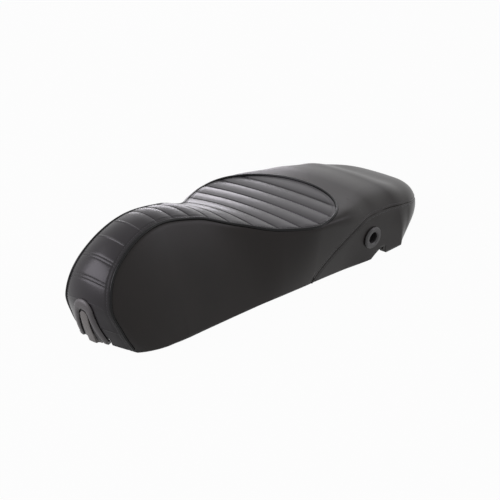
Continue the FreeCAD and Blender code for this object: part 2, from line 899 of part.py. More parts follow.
def staple(centre, grow):
    """Return one staple: a crown along the rim and two legs up, grown by a clearance."""
    wire = size("staple_wire")
    half = size("staple_width") / 2
    crown = Part.makeBox(wire, 2 * half, wire, V(-wire / 2, -half, -wire))
    parts = []
    for y in (-half, half - wire):
        corner = V(-wire / 2 - grow, y - grow, -wire)
        parts.append(Part.makeBox(wire + 2 * grow, wire + 2 * grow, wire + size("staple_leg") + grow, corner))
    shape = crown.fuse(parts)
    shape.translate(centre)
    return shape


STAPLE_FIT = GAP / 3
staples = feature("cover_staples", Part.makeCompound([staple(p, 0) for p in staple_places()]))
staple_holes = feature("staple_holes", Part.makeCompound([staple(p, STAPLE_FIT) for p in staple_places()]))

# Folding hook at the nose: skins that follow the nose, limited to the hook's own room
hook_room = block("hook_room", ("-pocket_half", "pocket_half"), ("seat_front", "pocket_back_y"),
                  ("rim_height", "rim_height + hook_arch_height + 2 * hook_arch_radius"))
hook_face = skin("hook_face", -size("hook_stand"))
hook_back = skin("hook_back", -size("hook_gap"))
tongue_face = skin("tongue_face", -size("tongue_stand"))
base_face = skin("base_face", size("base_recess"))
pocket = block("hook_pocket", ("-pocket_half", "pocket_half"), ("seat_front", "pocket_back_y"),
               ("0", "rim_height + pocket_top"))


def front_prism(label, edges):
    """Add a prism through the nose from closed edges drawn in the front view."""
    face = Part.Face(Part.Wire(Part.sortEdges(edges)[0]))
    face.translate(V(0, size("seat_front"), RIM_Z))
    return feature(label, face.extrude(V(0, size("pocket_back_y") - size("seat_front"), 0)))


def arch_edges(foot_half, foot_height, radius, height):
    """Return the edges of two straight legs and a round arch, open at the foot."""
    right = V(radius, 0, height)
    left = V(-radius, 0, height)
    arc = Part.Arc(right, V(0, 0, height + radius), left)
    return [Part.makeLine(V(foot_half, 0, foot_height), right), arc.toShape(),
            Part.makeLine(left, V(-foot_half, 0, foot_height))]


def hook_outline():
    """Add the prism of the hook's loop: an outer and an inner arch on splayed legs."""
    foot = size("hook_pivot_height") - size("hook_eye") / 2
    outer = arch_edges(size("hook_foot_half"), foot, size("hook_arch_radius"), size("hook_arch_height"))
    inner = arch_edges(size("hook_foot_inner"), foot, size("hook_inner_radius"), size("hook_inner_height"))
    feet = []
    for side in (1, -1):
        ends = V(side * size("hook_foot_half"), 0, foot), V(side * size("hook_foot_inner"), 0, foot)
        feet.append(Part.makeLine(*ends))
    return front_prism("hook_outline", outer + inner + feet)


def tongue_outline():
    """Add the prism of the tongue between the hook's legs, with a round top."""
    half = size("tongue_half")
    foot = size("base_bottom")
    edges = arch_edges(half, foot, half, size("tongue_top") - half)
    edges.append(Part.makeLine(V(half, 0, foot), V(-half, 0, foot)))
    return front_prism("tongue_outline", edges)


PIVOT = ("hook_pivot_y", "rim_height + hook_pivot_height")
loop_skin = cut("loop_skin", common("loop_room", hook_face, hook_room), hook_back)
loop = common("hook_loop", hook_outline(), loop_skin)
EYE_LENGTH = "hook_foot_half - hook_foot_inner - 2 * hook_gap"
eyes = [rod("hook_eye_left", "hook_eye", EYE_LENGTH, "hook_foot_inner + hook_gap", *PIVOT, ALONG_X),
        rod("hook_eye_right", "hook_eye", EYE_LENGTH, "hook_gap - hook_foot_half", *PIVOT, ALONG_X)]
pin_bore = rod("hook_pin_bore", "hook_pin + hook_pin_fit", "2 * pocket_half", "-pocket_half", *PIVOT, ALONG_X)
bag_hook = cut("bag_hook", fused("hook_with_eyes", [loop] + eyes), pin_bore)
hook_pin = rod("hook_pivot_pin", "hook_pin", "2 * hook_foot_half", "-hook_foot_half", *PIVOT, ALONG_X)

base_block = block("base_block", ("-base_half", "base_half"), ("seat_front", "pocket_back_y - fit_gap"),
                   ("rim_height + base_bottom", "rim_height + pocket_top - fit_gap"))
base_body = common("base_body", base_block, base_face)
tongue_prism = tongue_outline()
tongue_low = common("tongue_low", common("tongue_foot", tongue_prism, base_block), tongue_face)
tongue_high = cut("tongue_high", common("tongue_blade", tongue_prism, tongue_face), hook_back)
base_foot = block("base_foot", ("-base_half", "base_half"),
                  ("pocket_back_y - base_foot_thickness", "pocket_back_y + base_foot_length"),
                  ("plate_under - base_foot_thickness", "plate_under"))

# Screws of the hinge, the latch and the hook base, from below into bosses on the pan
HINGE_SCREWS = [(f"{side}leaf_bolt_x", f"leaf_front_y + leaf_bolt_edge + {row}")
                for side in ("", "-") for row in ("0", "leaf_bolt_pitch")]
STRIKER_SCREWS = [(f"{side}striker_bolt_x", "striker_y") for side in ("", "-")]
BASE_SCREWS = [(f"{side}base_screw_x", "base_screw_y") for side in ("", "-")]
ALL_SCREWS = HINGE_SCREWS + STRIKER_SCREWS + BASE_SCREWS


def screw(name, place_xy, under):
    """Add a screw with a flat round head, its shank up into a boss."""
    head_low = f"{under} - screw_head_height"
    head = rod(f"{name}_head", "screw_head_radius", "screw_head_height", *place_xy, head_low)
    shank = rod(f"{name}_shank", "screw_radius", f"plate_top + boss_height / 2 - ({under})", *place_xy, under)
    return fused(name, [head, shank])


def screws(label, places, under):
    """Add a group of like screws."""
    return group(label, [screw(f"{label}_{i}", xy, under) for i, xy in enumerate(places)])


def washers(label, places, under):
    """Add a group of flat washers, each around its screw."""
    rings = []
    for i, xy in enumerate(places):
        disc = rod(f"{label}_disc_{i}", "washer_radius", "washer_thickness", *xy,
                   f"{under} - washer_thickness")
        hole = rod(f"{label}_hole_{i}", "screw_radius + screw_fit", "3 * washer_thickness", *xy,
                   f"{under} - 2 * washer_thickness")
        rings.append(cut(f"{label}_{i}", disc, hole))
    return group(label, rings)


def screw_holes(label, places, low, high):
    """Add clearance holes for screws between two heights."""
    return fused(label, [rod(f"{label}_{i}", "screw_radius + screw_fit", f"{high} - ({low})", *xy, low)
                         for i, xy in enumerate(places)])


LEAF_UNDER = "plate_under - leaf_thickness"
STRIKER_UNDER = "plate_under - striker_plate_thickness"
FOOT_UNDER = "plate_under - base_foot_thickness"
hinge_screws = screws("hinge_screws", HINGE_SCREWS, f"{LEAF_UNDER} - washer_thickness")
hinge_washers = washers("hinge_washers", HINGE_SCREWS, LEAF_UNDER)
striker_screws = screws("striker_screws", STRIKER_SCREWS, f"{STRIKER_UNDER} - washer_thickness")
striker_washers = washers("striker_washers", STRIKER_SCREWS, STRIKER_UNDER)
base_screws = screws("hook_base_screws", BASE_SCREWS, FOOT_UNDER)

base_holes = screw_holes("base_holes", BASE_SCREWS, "0", "plate_top")
base_whole = fused("base_whole", [base_body, tongue_low, tongue_high, base_foot])
hook_base = cut("hook_base", base_whole, fused("base_bores", [base_holes, pin_bore]))

# Hinge bracket: a leaf with two bored posts that the hinge of the scooter is fixed to
leaf = block("hinge_leaf", ("-leaf_width / 2", "leaf_width / 2"),
             ("leaf_front_y", "leaf_front_y + leaf_length"), (LEAF_UNDER, "plate_under"))
POSTS = [(f"{side}post_x", "leaf_front_y + post_edge") for side in ("", "-")]
posts = [rod(f"hinge_post_{i}", "post_radius", "post_height + leaf_thickness / 2", *xy,
             f"{LEAF_UNDER} - post_height") for i, xy in enumerate(POSTS)]
post_bores = [rod(f"post_bore_{i}", "hinge_bore", "post_height + 2 * leaf_thickness", *xy,
                  f"{LEAF_UNDER} - post_height") for i, xy in enumerate(POSTS)]
leaf_holes = screw_holes("leaf_holes", HINGE_SCREWS, "0", "plate_top")
hinge_bracket = cut("hinge_bracket", fused("hinge_whole", [leaf] + posts),
                    fused("hinge_cuts", post_bores + [leaf_holes]))

# Latch striker: a wire loop under a plate
striker_plate_blank = block("striker_plate_blank", ("-striker_plate_width / 2", "striker_plate_width / 2"),
                            ("striker_y - striker_plate_length / 2", "striker_y + striker_plate_length / 2"),
                            (STRIKER_UNDER, "plate_under"))
striker_holes = screw_holes("striker_holes", STRIKER_SCREWS, "0", "plate_top")
striker_plate = cut("striker_plate", striker_plate_blank, striker_holes)
BEND_Z = "striker_clear + striker_wire + striker_half_gap"
bend = named("Part::Torus", "striker_bend")
bind(bend, Radius1="striker_half_gap", Radius2="striker_wire")
bend.Angle3 = 180
place(bend, "0", "striker_y", BEND_Z, FreeCAD.Rotation(V(0, 0, 1), V(0, 1, 0)))
striker_legs = [rod("striker_leg_left", "striker_wire", f"{STRIKER_UNDER} - ({BEND_Z})",
                    "striker_half_gap", "striker_y", BEND_Z),
                rod("striker_leg_right", "striker_wire", f"{STRIKER_UNDER} - ({BEND_Z})",
                    "-striker_half_gap", "striker_y", BEND_Z)]
striker = fused("latch_striker", [bend] + striker_legs)

# Rubber buffers that the seat stands on
BUFFERS = {
    "front_left": ("front_buffer_x", "front_buffer_y"),
    "front_right": ("-front_buffer_x", "front_buffer_y"),
    "rear_left": ("rear_buffer_x", "rear_buffer_y"),
    "rear_right": ("-rear_buffer_x", "rear_buffer_y"),
}


def buffer(name, xy):
    """Add a rubber buffer with a chamfered foot and a stem in the pan."""
    body = turned(f"buffer_{name}", [
        ("0", "0"),
        ("buffer_radius - buffer_chamfer", "0"),
        ("buffer_radius", "buffer_chamfer"),
        ("buffer_radius", "buffer_height"),
        ("buffer_stem", "buffer_height"),
        ("buffer_stem", "buffer_height + buffer_stem_length"),
        ("0", "buffer_height + buffer_stem_length"),
    ])
    return place(body, *xy, "0")


buffers = [buffer(name, xy) for name, xy in BUFFERS.items()]

# Pan: a plate with a skirt, a flange for the hem, ribs and bosses
pan_block = common("pan_block", padding_skin, slab("pan_slab", "pan_rim", "plate_top"))
pan_hollow = common("pan_hollow", pan_lining,
                    slab("hollow_slab", "pan_rim + flange_thickness", "plate_under"))
pan_mouth = common("pan_mouth", flange_line, slab("mouth_slab", "0", "pan_rim + flange_thickness + fit_gap"))
tray = cut("tray", cut("tray_blank", pan_block, pan_hollow), pan_mouth)


def cross_rib(i):
    """Add a rib across the pan, ending inside its skirt."""
    y = size("first_rib_y") + size("rib_pitch") * i
    middle = size("pan_depth") - size("plate_thickness") - size("rib_height") / 2 + size("axis_drop")
    alias = f"rib_half_{'abcdefghijkl'[i]}"
    derive(alias, Section(y, COVER + GAP + size("pan_wall") / 2).half_at(middle))
    start = f"first_rib_y + rib_pitch * {i} - rib_thickness / 2"
    return block(f"cross_rib_{i}", (f"-{alias}", alias), (start, f"{start} + rib_thickness"),
                 ("plate_under - rib_height", "plate_under + plate_thickness / 2"))


def long_rib(name, x):
    """Add a rib along the pan."""
    return block(name, (f"{x} - rib_thickness / 2", f"{x} + rib_thickness / 2"),
                 ("nose_axis_y", "nose_axis_y + long_rib_length"),
                 ("plate_under - rib_height", "plate_under + plate_thickness / 2"))


ribs = [cross_rib(i) for i in range(int(size("rib_count")))]
ribs += [long_rib("long_rib_left", "long_rib_x"), long_rib("long_rib_right", "-long_rib_x")]
pan_bosses = [rod(f"screw_boss_{i}", "boss_radius", "plate_thickness / 2 + boss_height", *xy,
                  "plate_top - plate_thickness / 2") for i, xy in enumerate(ALL_SCREWS)]
buffer_bosses = [rod(f"buffer_boss_{name}", "buffer_radius",
                     "plate_under - buffer_height + plate_thickness / 2", *xy, "buffer_height")
                 for name, xy in BUFFERS.items()]
stem_holes = [rod(f"stem_hole_{name}", "buffer_stem + screw_fit", "buffer_stem_length + fit_gap", *xy,
                  "buffer_height") for name, xy in BUFFERS.items()]
pan_holes = screw_holes("pan_holes", ALL_SCREWS, "plate_under - rib_height",
                        "plate_top + boss_height / 2 + fit_gap")
pan_cuts = fused("pan_cuts", [pan_holes, pan_arch, rim_notch, pocket, sleeve_rooms] + stem_holes)
pan_whole = fused("pan_whole", [tray] + ribs + pan_bosses + buffer_bosses)
seat_pan = cut("seat_pan", cut("pan_drilled", pan_whole, pan_cuts), staple_holes)

# Padding: one foam block on the plate, recessed for the insert
foam_blank = common("foam_blank", padding_skin, slab("foam_slab", "plate_top", "seat_top"))
recess = cut("insert_recess", common("recess_block", recess_zone, foam_blank), recess_floor)
boss_rooms = [rod(f"boss_room_{i}", "boss_radius + fit_gap", "boss_height + fit_gap", *xy, "plate_top")
              for i, xy in enumerate(ALL_SCREWS)]
foam_rooms = fused("foam_rooms", [sleeve_rooms, pocket] + boss_rooms)
foam = cut("foam_cushion", cut("foam_recessed", foam_blank, recess), foam_rooms)

# Cover: skin and turned hem, parted by the piping and by the tail seam
cover_block = common("cover_block", outer_skin, slab("cover_slab", "rim_height", "seat_top"))
cover_inside = common("cover_inside", cover_lining,
                      slab("lining_slab", "rim_height + hem_thickness", "seat_top"))
hem_mouth = common("hem_mouth", hem_line, slab("hem_slab", "0", "pan_rim + fit_gap"))
cover_shell = cut("cover_shell", cut("cover_skin", cover_block, cover_inside), hem_mouth)
cover_cuts = fused("cover_cuts", [arch, staple_holes])
cover_open = cut("cover_open", cut("cover_opened", cover_shell, cover_opening), cover_cuts)
main_cover = cut("main_cover", cover_open, main_side)
tail_blank = common("tail_blank", cover_open, tail_side)
tail_panel = cut("tail_panel", tail_blank, fused("tail_cuts", [cover_holes, rim_notch]))

# Pleated insert in the recess: padded above the pan's plate, one sheet where it wraps the pan
insert_blank = common("insert_blank", insert_area, common("insert_block", pleated_skin,
                      slab("insert_slab", "rim_height", "seat_top")))
insert_wrap = common("insert_wrap", cover_lining, slab("wrap_slab", "0", "plate_top + fit_gap"))
insert_pad = cut("insert_pad", cut("insert_bent", insert_blank, insert_under), insert_wrap)
ribbed_insert = cut("ribbed_insert", insert_pad, fused("insert_cuts", [arch, pocket]))


def piping_points(count=44):
    """Return the centre line of the piping, from the nose on +X round the tip to the nose on -X."""
    stand = -size("piping_stand")
    start = nose_station(size("piping_end_angle"))
    side = []
    for i in range(count):
        station = start + (HIP_Y - start) * i / count
        x, reach = Section(station, stand).rounding(0.5)
        side.append(in_space(station, x, reach))
    tip = []
    for point in tip_points():
        reach = Section(point.y, stand).reach_at(abs(point.x))
        tip.append(in_space(point.y, point.x, reach))
    other = [V(-p.x, p.y, p.z) for p in reversed(side)]
    return side + tip + other


def piping_solid():
    """Return the piping as a round tube about its centre line, closed at both ends."""
    points = piping_points()
    radius = size("piping_radius")
    rings = []
    for i, point in enumerate(points):
        way = (points[min(i + 1, len(points) - 1)] - points[max(i - 1, 0)]).normalize()
        out = V(point.x, 0, point.z)
        out = (out - way * out.dot(way)).normalize() * radius
        across = way.cross(out)
        rings.append([Part.Arc(point + out, point + across, point - out).toShape(),
                      Part.Arc(point - out, point - across, point + out).toShape()])
    faces = [Part.Face(Part.Wire(ring)) for ring in (rings[0], rings[-1])]
    for ring, following in zip(rings, rings[1:]):
        faces += [Part.makeRuledSurface(*arcs) for arcs in zip(ring, following)]
    shell = Part.Shell(faces)
    shell.sewShape()
    solid = Part.Solid(shell)
    if solid.Volume < 0:
        solid.reverse()
    return solid


piping = feature("insert_piping", piping_solid())

NODES = [seat_pan, foam, main_cover, tail_panel, ribbed_insert, piping, bag_hook, hook_pin, hook_base,
         base_screws, hinge_bracket, hinge_screws, hinge_washers, striker, striker_plate, striker_screws,
         striker_washers, staples] + bezels + sleeves + buffers


def export():
    """Check every object and write each sub-part to its own file."""
    doc.recompute()
    for item in doc.Objects:
        if any(state in ("Invalid", "Error") for state in item.State):
            raise RuntimeError(f"{item.Label} failed: {item.State}")
    for node in NODES:
        if node.Shape.isNull() or not node.Shape.isValid() or not node.Shape.Solids:
            raise RuntimeError(f"{node.Label} has no valid shape")
    os.makedirs("parts", exist_ok=True)
    for node in NODES:
        node.Shape.exportStep(f"parts/{node.Label}.step")
        print(node.Label, len(node.Shape.Solids), round(node.Shape.Volume))


export()
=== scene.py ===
"""Dual seat of a motor scooter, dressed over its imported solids.

The upholstery is rebuilt as sewn panels on the seat's own form: a smooth cover with a pillion,
a panel round the tail, a pleated insert over the nose and the rider's place, and the piping
between them. Rigid pieces keep their solids and get their finishes here. Sizes in the classes
are millimetres in the seat's frame: +X is the rider's left, -Y the nose and +Z up.
"""

import bisect
import logging
import math
from dataclasses import dataclass, field
from enum import Enum
from typing import Callable, Iterable, NamedTuple, Optional, Sequence

import bmesh
import bpy
from bmesh.types import BMesh, BMVert
from bpy.types import Material, NodeSocket, NodeTree, Object, Scene
from mathutils import Matrix, Vector
from mathutils.bvhtree import BVHTree
from mathutils.kdtree import KDTree

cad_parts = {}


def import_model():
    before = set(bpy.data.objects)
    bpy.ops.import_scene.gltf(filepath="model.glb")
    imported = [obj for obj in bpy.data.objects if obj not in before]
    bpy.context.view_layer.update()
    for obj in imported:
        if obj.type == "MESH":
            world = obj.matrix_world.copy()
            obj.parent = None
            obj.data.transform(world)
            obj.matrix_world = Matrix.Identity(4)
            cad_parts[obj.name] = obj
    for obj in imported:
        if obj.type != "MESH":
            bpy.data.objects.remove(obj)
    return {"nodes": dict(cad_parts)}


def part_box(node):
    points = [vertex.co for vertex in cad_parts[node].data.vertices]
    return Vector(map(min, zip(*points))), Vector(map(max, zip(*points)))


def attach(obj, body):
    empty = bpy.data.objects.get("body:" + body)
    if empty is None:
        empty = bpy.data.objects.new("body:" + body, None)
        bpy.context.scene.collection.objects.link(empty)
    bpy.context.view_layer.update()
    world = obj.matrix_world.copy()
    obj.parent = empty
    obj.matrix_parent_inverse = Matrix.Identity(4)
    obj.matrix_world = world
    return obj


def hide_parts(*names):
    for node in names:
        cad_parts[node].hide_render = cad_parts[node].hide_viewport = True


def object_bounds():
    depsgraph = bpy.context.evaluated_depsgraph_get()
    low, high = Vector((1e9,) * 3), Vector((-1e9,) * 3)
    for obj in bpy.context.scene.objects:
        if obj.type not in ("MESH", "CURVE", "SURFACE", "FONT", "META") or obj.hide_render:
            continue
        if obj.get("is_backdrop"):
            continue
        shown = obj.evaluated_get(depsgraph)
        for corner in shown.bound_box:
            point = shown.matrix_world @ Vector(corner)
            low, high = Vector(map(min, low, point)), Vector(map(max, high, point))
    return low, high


LOG = logging.getLogger("scooter_seat")
MM = 0.001
MERGE = 1e-3
ON_PLANE = 1e-4
STITCH_ROW = 4.2
SEAT_BODY = "seat"
HOOK_BODY = "bag_hook"

Height = Callable[[float, float], float]
Pair = tuple[float, float]
Triple = tuple[float, float, float]


class Row(NamedTuple):
    """One cross section of the seat's form: its station and the sizes of its half outline."""

    station: float
    base: float
    edge: float
    edge_reach: float
    centre_reach: float
    shoulder: float
    bulge: float


def smooth_step(value: float) -> float:
    """Return an eased share between 0 and 1."""
    value = min(max(value, 0.0), 1.0)
    return value * value * (3 - 2 * value)


def sewn_line(distance: float, width: float) -> float:
    """Return the share by which a sewn line dips, 1 in its middle."""
    return math.exp(-(distance / width) ** 2)


def rolled_edge(distance: float, reach: float) -> float:
    """Return the share by which an edge is drawn in, from 1 at the edge to 0 at its reach."""
    return max(1 - distance / reach, 0.0) ** 2


def cosine_shares(count: int) -> list[float]:
    """Return shares from 0 to 1 that crowd towards both ends."""
    return [0.5 - 0.5 * math.cos(math.pi * i / count) for i in range(count + 1)]


def mirrored(points: Sequence[Vector]) -> list[Vector]:
    """Return points mirrored to the other side of the seat, in the opposite order."""
    return [Vector((-p.x, p.y, p.z)) for p in reversed(points)]


def cubic_between(x: float, xs: Sequence[float], ys: Sequence[float]) -> float:
    """Return a smooth value through points, with no overshoot.

    Args:
        x: Place to read.
        xs: Places of the points, rising.
        ys: Values of the points.

    Returns:
        The value at x.
    """

    def slope(i: int) -> float:
        """Return the slope of the curve at one of its points.

        Args:
            i: Number of the point.

        Returns:
            The slope, 0 where the values turn.
        """
        if i in (0, len(xs) - 1):
            j = min(i, len(xs) - 2)
            return (ys[j + 1] - ys[j]) / (xs[j + 1] - xs[j])
        before = (ys[i] - ys[i - 1]) / (xs[i] - xs[i - 1])
        after = (ys[i + 1] - ys[i]) / (xs[i + 1] - xs[i])
        if before * after <= 0:
            return 0.0
        near = 2 * (xs[i + 1] - xs[i]) + (xs[i] - xs[i - 1])
        far = (xs[i + 1] - xs[i]) + 2 * (xs[i] - xs[i - 1])
        return (near + far) / (near / before + far / after)

    i = min(max(bisect.bisect_left(xs, x) - 1, 0), len(xs) - 2)
    span = xs[i + 1] - xs[i]
    t = (x - xs[i]) / span
    start = ys[i] * (1 + 2 * t) * (1 - t) ** 2 + slope(i) * span * t * (1 - t) ** 2
    end = ys[i + 1] * t * t * (3 - 2 * t) + slope(i + 1) * span * t * t * (t - 1)
    return start + end


def near_tree(points: Sequence[Vector]) -> KDTree:
    """Return a search tree over points.

    Args:
        points: The points.

    Returns:
        The tree, ready to search.
    """
    tree = KDTree(len(points))
    for i, point in enumerate(points):
        tree.insert(point, i)
    tree.balance()
    return tree


def even_points(points: Sequence[Vector], step: float) -> list[tuple[Vector, Vector]]:
    """Return places along a line at an even step.

    Args:
        points: The line.
        step: Distance between places.

    Returns:
        A point and a direction for each place.
    """
    places, run = [], step / 2
    for one, two in zip(points, points[1:]):
        length = (two - one).length
        while length and run <= length:
            places.append((one.lerp(two, run / length), (two - one) / length))
            run += step
        run -= length
    return places


class Outline:
    """Half outline of the seat at one station, from the base up the wall to the centre line."""

    WALL_STEPS = 40
    SHOULDER_STEPS = 20
    CROWN_STEPS = 40
    MOST_SHOULDER = 0.9

    def __init__(self, row: Row, foot: float) -> None:
        """Sample the wall, the rounded shoulder and the crown.

        Args:
            row: Sizes of the section.
            foot: Reach at which the wall starts.
        """
        self.row = row
        self.foot = foot
        self.wall_length = math.hypot(row.edge - row.base, row.edge_reach - foot)
        wall_end = 1 - row.shoulder / self.wall_length
        crown_start = min(row.shoulder / row.edge, self.MOST_SHOULDER)
        start, end = self.wall(wall_end), self.crown(crown_start)
        self.points = [self.wall(wall_end * i / self.WALL_STEPS) for i in range(self.WALL_STEPS)]
        for i in range(self.SHOULDER_STEPS):
            self.points.append(self.shoulder(i / self.SHOULDER_STEPS, start, end))
        for i in range(self.CROWN_STEPS + 1):
            share = crown_start + (1 - crown_start) * i / self.CROWN_STEPS
            self.points.append(self.crown(share))
        self.arcs = [0.0]
        for one, two in zip(self.points, self.points[1:]):
            self.arcs.append(self.arcs[-1] + math.dist(one, two))

    def wall(self, t: float) -> Pair:
        """Return a point on the bulged wall.

        Args:
            t: Share of the wall, from the base (0) to the edge (1).

        Returns:
            Half width and reach.
        """
        rise, out = self.row.edge_reach - self.foot, self.row.edge - self.row.base
        push = 4 * t * (1 - t) * self.row.bulge / self.wall_length
        return self.row.base + out * t + rise * push, self.foot + rise * t - out * push

    def crown(self, t: float) -> Pair:
        """Return half width and reach on the crown, from the edge (0) to the centre (1)."""
        drop = self.row.centre_reach - self.row.edge_reach
        return self.row.edge * (1 - t), self.row.centre_reach - drop * (1 - t) ** 2

    def shoulder(self, t: float, start: Pair, end: Pair) -> Pair:
        """Return a point on the shoulder.

        Args:
            t: Share of the shoulder, from the wall (0) to the crown (1).
            start: Half width and reach at the wall's end.
            end: Half width and reach at the crown's start.

        Returns:
            Half width and reach.
        """
        corner = (self.row.edge, self.row.edge_reach)
        parts = zip(start, corner, end)
        x, reach = ((1 - t) ** 2 * a + 2 * t * (1 - t) * b + t * t * c for a, b, c in parts)
        return x, reach

    @property
    def length(self) -> float:
        """Return the length of the half outline."""
        return self.arcs[-1]

    @property
    def piping_arc(self) -> float:
        """Return the arc length at the middle of the shoulder."""
        return self.arcs[self.WALL_STEPS + self.SHOULDER_STEPS // 2]

    def at(self, arc: float) -> Pair:
        """Return a point of the outline.

        Args:
            arc: Arc length from the base.

        Returns:
            Half width and reach.
        """
        i = min(max(bisect.bisect_left(self.arcs, arc), 1), len(self.arcs) - 1)
        share = (arc - self.arcs[i - 1]) / (self.arcs[i] - self.arcs[i - 1])
        one, two = self.points[i - 1], self.points[i]
        return one[0] + (two[0] - one[0]) * share, one[1] + (two[1] - one[1]) * share

    def arc_at_width(self, x: float) -> float:
        """Return where the crown or the shoulder has a half width.

        Args:
            x: The half width.

        Returns:
            The arc length from the base.
        """
        for i in range(len(self.points) - 1, 0, -1):
            inner, outer = self.points[i][0], self.points[i - 1][0]
            if inner <= x <= outer:
                share = (x - inner) / (outer - inner)
                return self.arcs[i] + (self.arcs[i - 1] - self.arcs[i]) * share
        return self.piping_arc


@dataclass
class SeatForm:
    """The padded form of the seat: upright sections, fanned at the nose and the tail.

    Rows of nose and tail start with the section's lean in degrees, rows of middle with its Y.
    """

    nose_y: float = -225.0
    tail_y: float = 215.0
    nose_wrap: float = 183.0
    tail_wrap: float = 140.0
    rim: float = 2.5
    axis_drop: float = 30.0
    foot: float = 10.0
    hip_y: float = 24.0
    nose: tuple[tuple[float, ...], ...] = (
        (90, 82, 58, 72, 100, 16, 4),
        (70, 82, 58, 91, 121, 16, 5),
        (56, 82, 55.5, 128, 154, 13, 6),
        (47.5, 82, 50, 161, 174, 11, 7),
        (29, 84, 40, 189, 199, 9, 8),
        (0, 86, 34, 201, 209, 9, 8),
    )
    middle: tuple[tuple[float, ...], ...] = (
        (-158, 89, 41, 189, 197, 9, 8),
        (-92, 92, 63, 161, 170, 9, 6),
        (-36, 93, 103, 143, 152, 9, 4),
        (24, 95, 129, 136, 144, 10, 3),
        (83, 101, 133.5, 135, 141, 22.5, 3),
        (150, 114, 127, 127.5, 140, 45, 3),
    )
    tail: tuple[tuple[float, ...], ...] = (
        (0, 117, 121, 116, 127, 52, 3),
        (20, 108, 120.5, 112.5, 118, 56, 2),
        (50, 94, 92.5, 128, 135.5, 65, 2),
        (68, 79, 64, 108, 150, 68, 2),
        (78, 76, 62, 96, 132, 66, 2),
        (90, 70, 56, 80, 100, 60, 2),
    )
    rows: list[Row] = field(init=False)
    kept: dict[float, Outline] = field(init=False, default_factory=dict)

    def __post_init__(self) -> None:
        """Put the sections in order along the seat, with stations in millimetres."""
        rows = [Row(self.nose_station(r[0]), *r[1:]) for r in self.nose]
        rows += [Row(*r) for r in self.middle]
        rows += [Row(self.tail_station(r[0]), *r[1:]) for r in self.tail]
        self.rows = sorted(rows)

    @property
    def axis_z(self) -> float:
        """Return the height of the axes that the nose and the tail fan about."""
        return self.rim - self.axis_drop

    def nose_station(self, degrees: float) -> float:
        """Return the station of a section that leans forward by an angle."""
        return self.nose_y - self.nose_wrap * math.radians(degrees)

    def tail_station(self, degrees: float) -> float:
        """Return the station of a section that leans back by an angle."""
        return self.tail_y + self.tail_wrap * math.radians(degrees)

    def outline(self, station: float) -> Outline:
        """Return the half outline at a station, from those kept where it was read before.

        Args:
            station: The station.

        Returns:
            The outline, with sizes between those of the rows.
        """
        if station not in self.kept:
            stations, *columns = zip(*self.rows)
            values = (cubic_between(station, stations, column) for column in columns)
            self.kept[station] = Outline(Row(station, *values), self.foot)
        return self.kept[station]

    def place(self, station: float, x: float, reach: float) -> Vector:
        """Return a point in the plane of a station.

        Args:
            station: The station, whose plane leans at the nose and at the tail.
            x: Half width.
            reach: Distance from the axis.

        Returns:
            The point.
        """
        y, lean = station, 0.0
        if station < self.nose_y:
            y, lean = self.nose_y, (station - self.nose_y) / self.nose_wrap
        elif station > self.tail_y:
            y, lean = self.tail_y, (station - self.tail_y) / self.tail_wrap
        return Vector((x, y + reach * math.sin(lean), self.axis_z + reach * math.cos(lean)))

    def station_of(self, point: Vector) -> float:
        """Return the station of a point on the form.

        Args:
            point: The point.

        Returns:
            The station.
        """
        up = point.z - self.axis_z
        if point.y < self.nose_y:
            return self.nose_y - self.nose_wrap * math.atan2(self.nose_y - point.y, up)
        if point.y > self.tail_y:
            return self.tail_y + self.tail_wrap * math.atan2(point.y - self.tail_y, up)
        return point.y

    def at(self, station: float, arc: float) -> Vector:
        """Return the point on +X at an arc length up from the base of a station's outline."""
        return self.place(station, *self.outline(station).at(arc))

    def half_row(self, station: float, start: float, steps: int) -> list[Vector]:
        """Return even points of a station's outline on +X, from an arc length to the centre."""
        run = self.outline(station).length - start
        return [self.at(station, start + run * i / steps) for i in range(steps + 1)]

    def crossing(self, station: float, height: Height) -> Optional[float]:
        """Return the arc length where an outline rises past a height, or None.

        Args:
            station: Station of the outline.
            height: Height as a function of x and y.

        Returns:
            The arc length from the base, or None where the outline stays below.
        """
        outline = self.outline(station)
        before = None
        for arc, (x, reach) in zip(outline.arcs, outline.points):
            point = self.place(station, x, reach)
            over = point.z - height(point.x, point.y)
            if over >= 0:
                if before is None:
                    return arc
                return before[0] + (arc - before[0]) * before[1] / (before[1] - over)
            before = (arc, over)
        return None


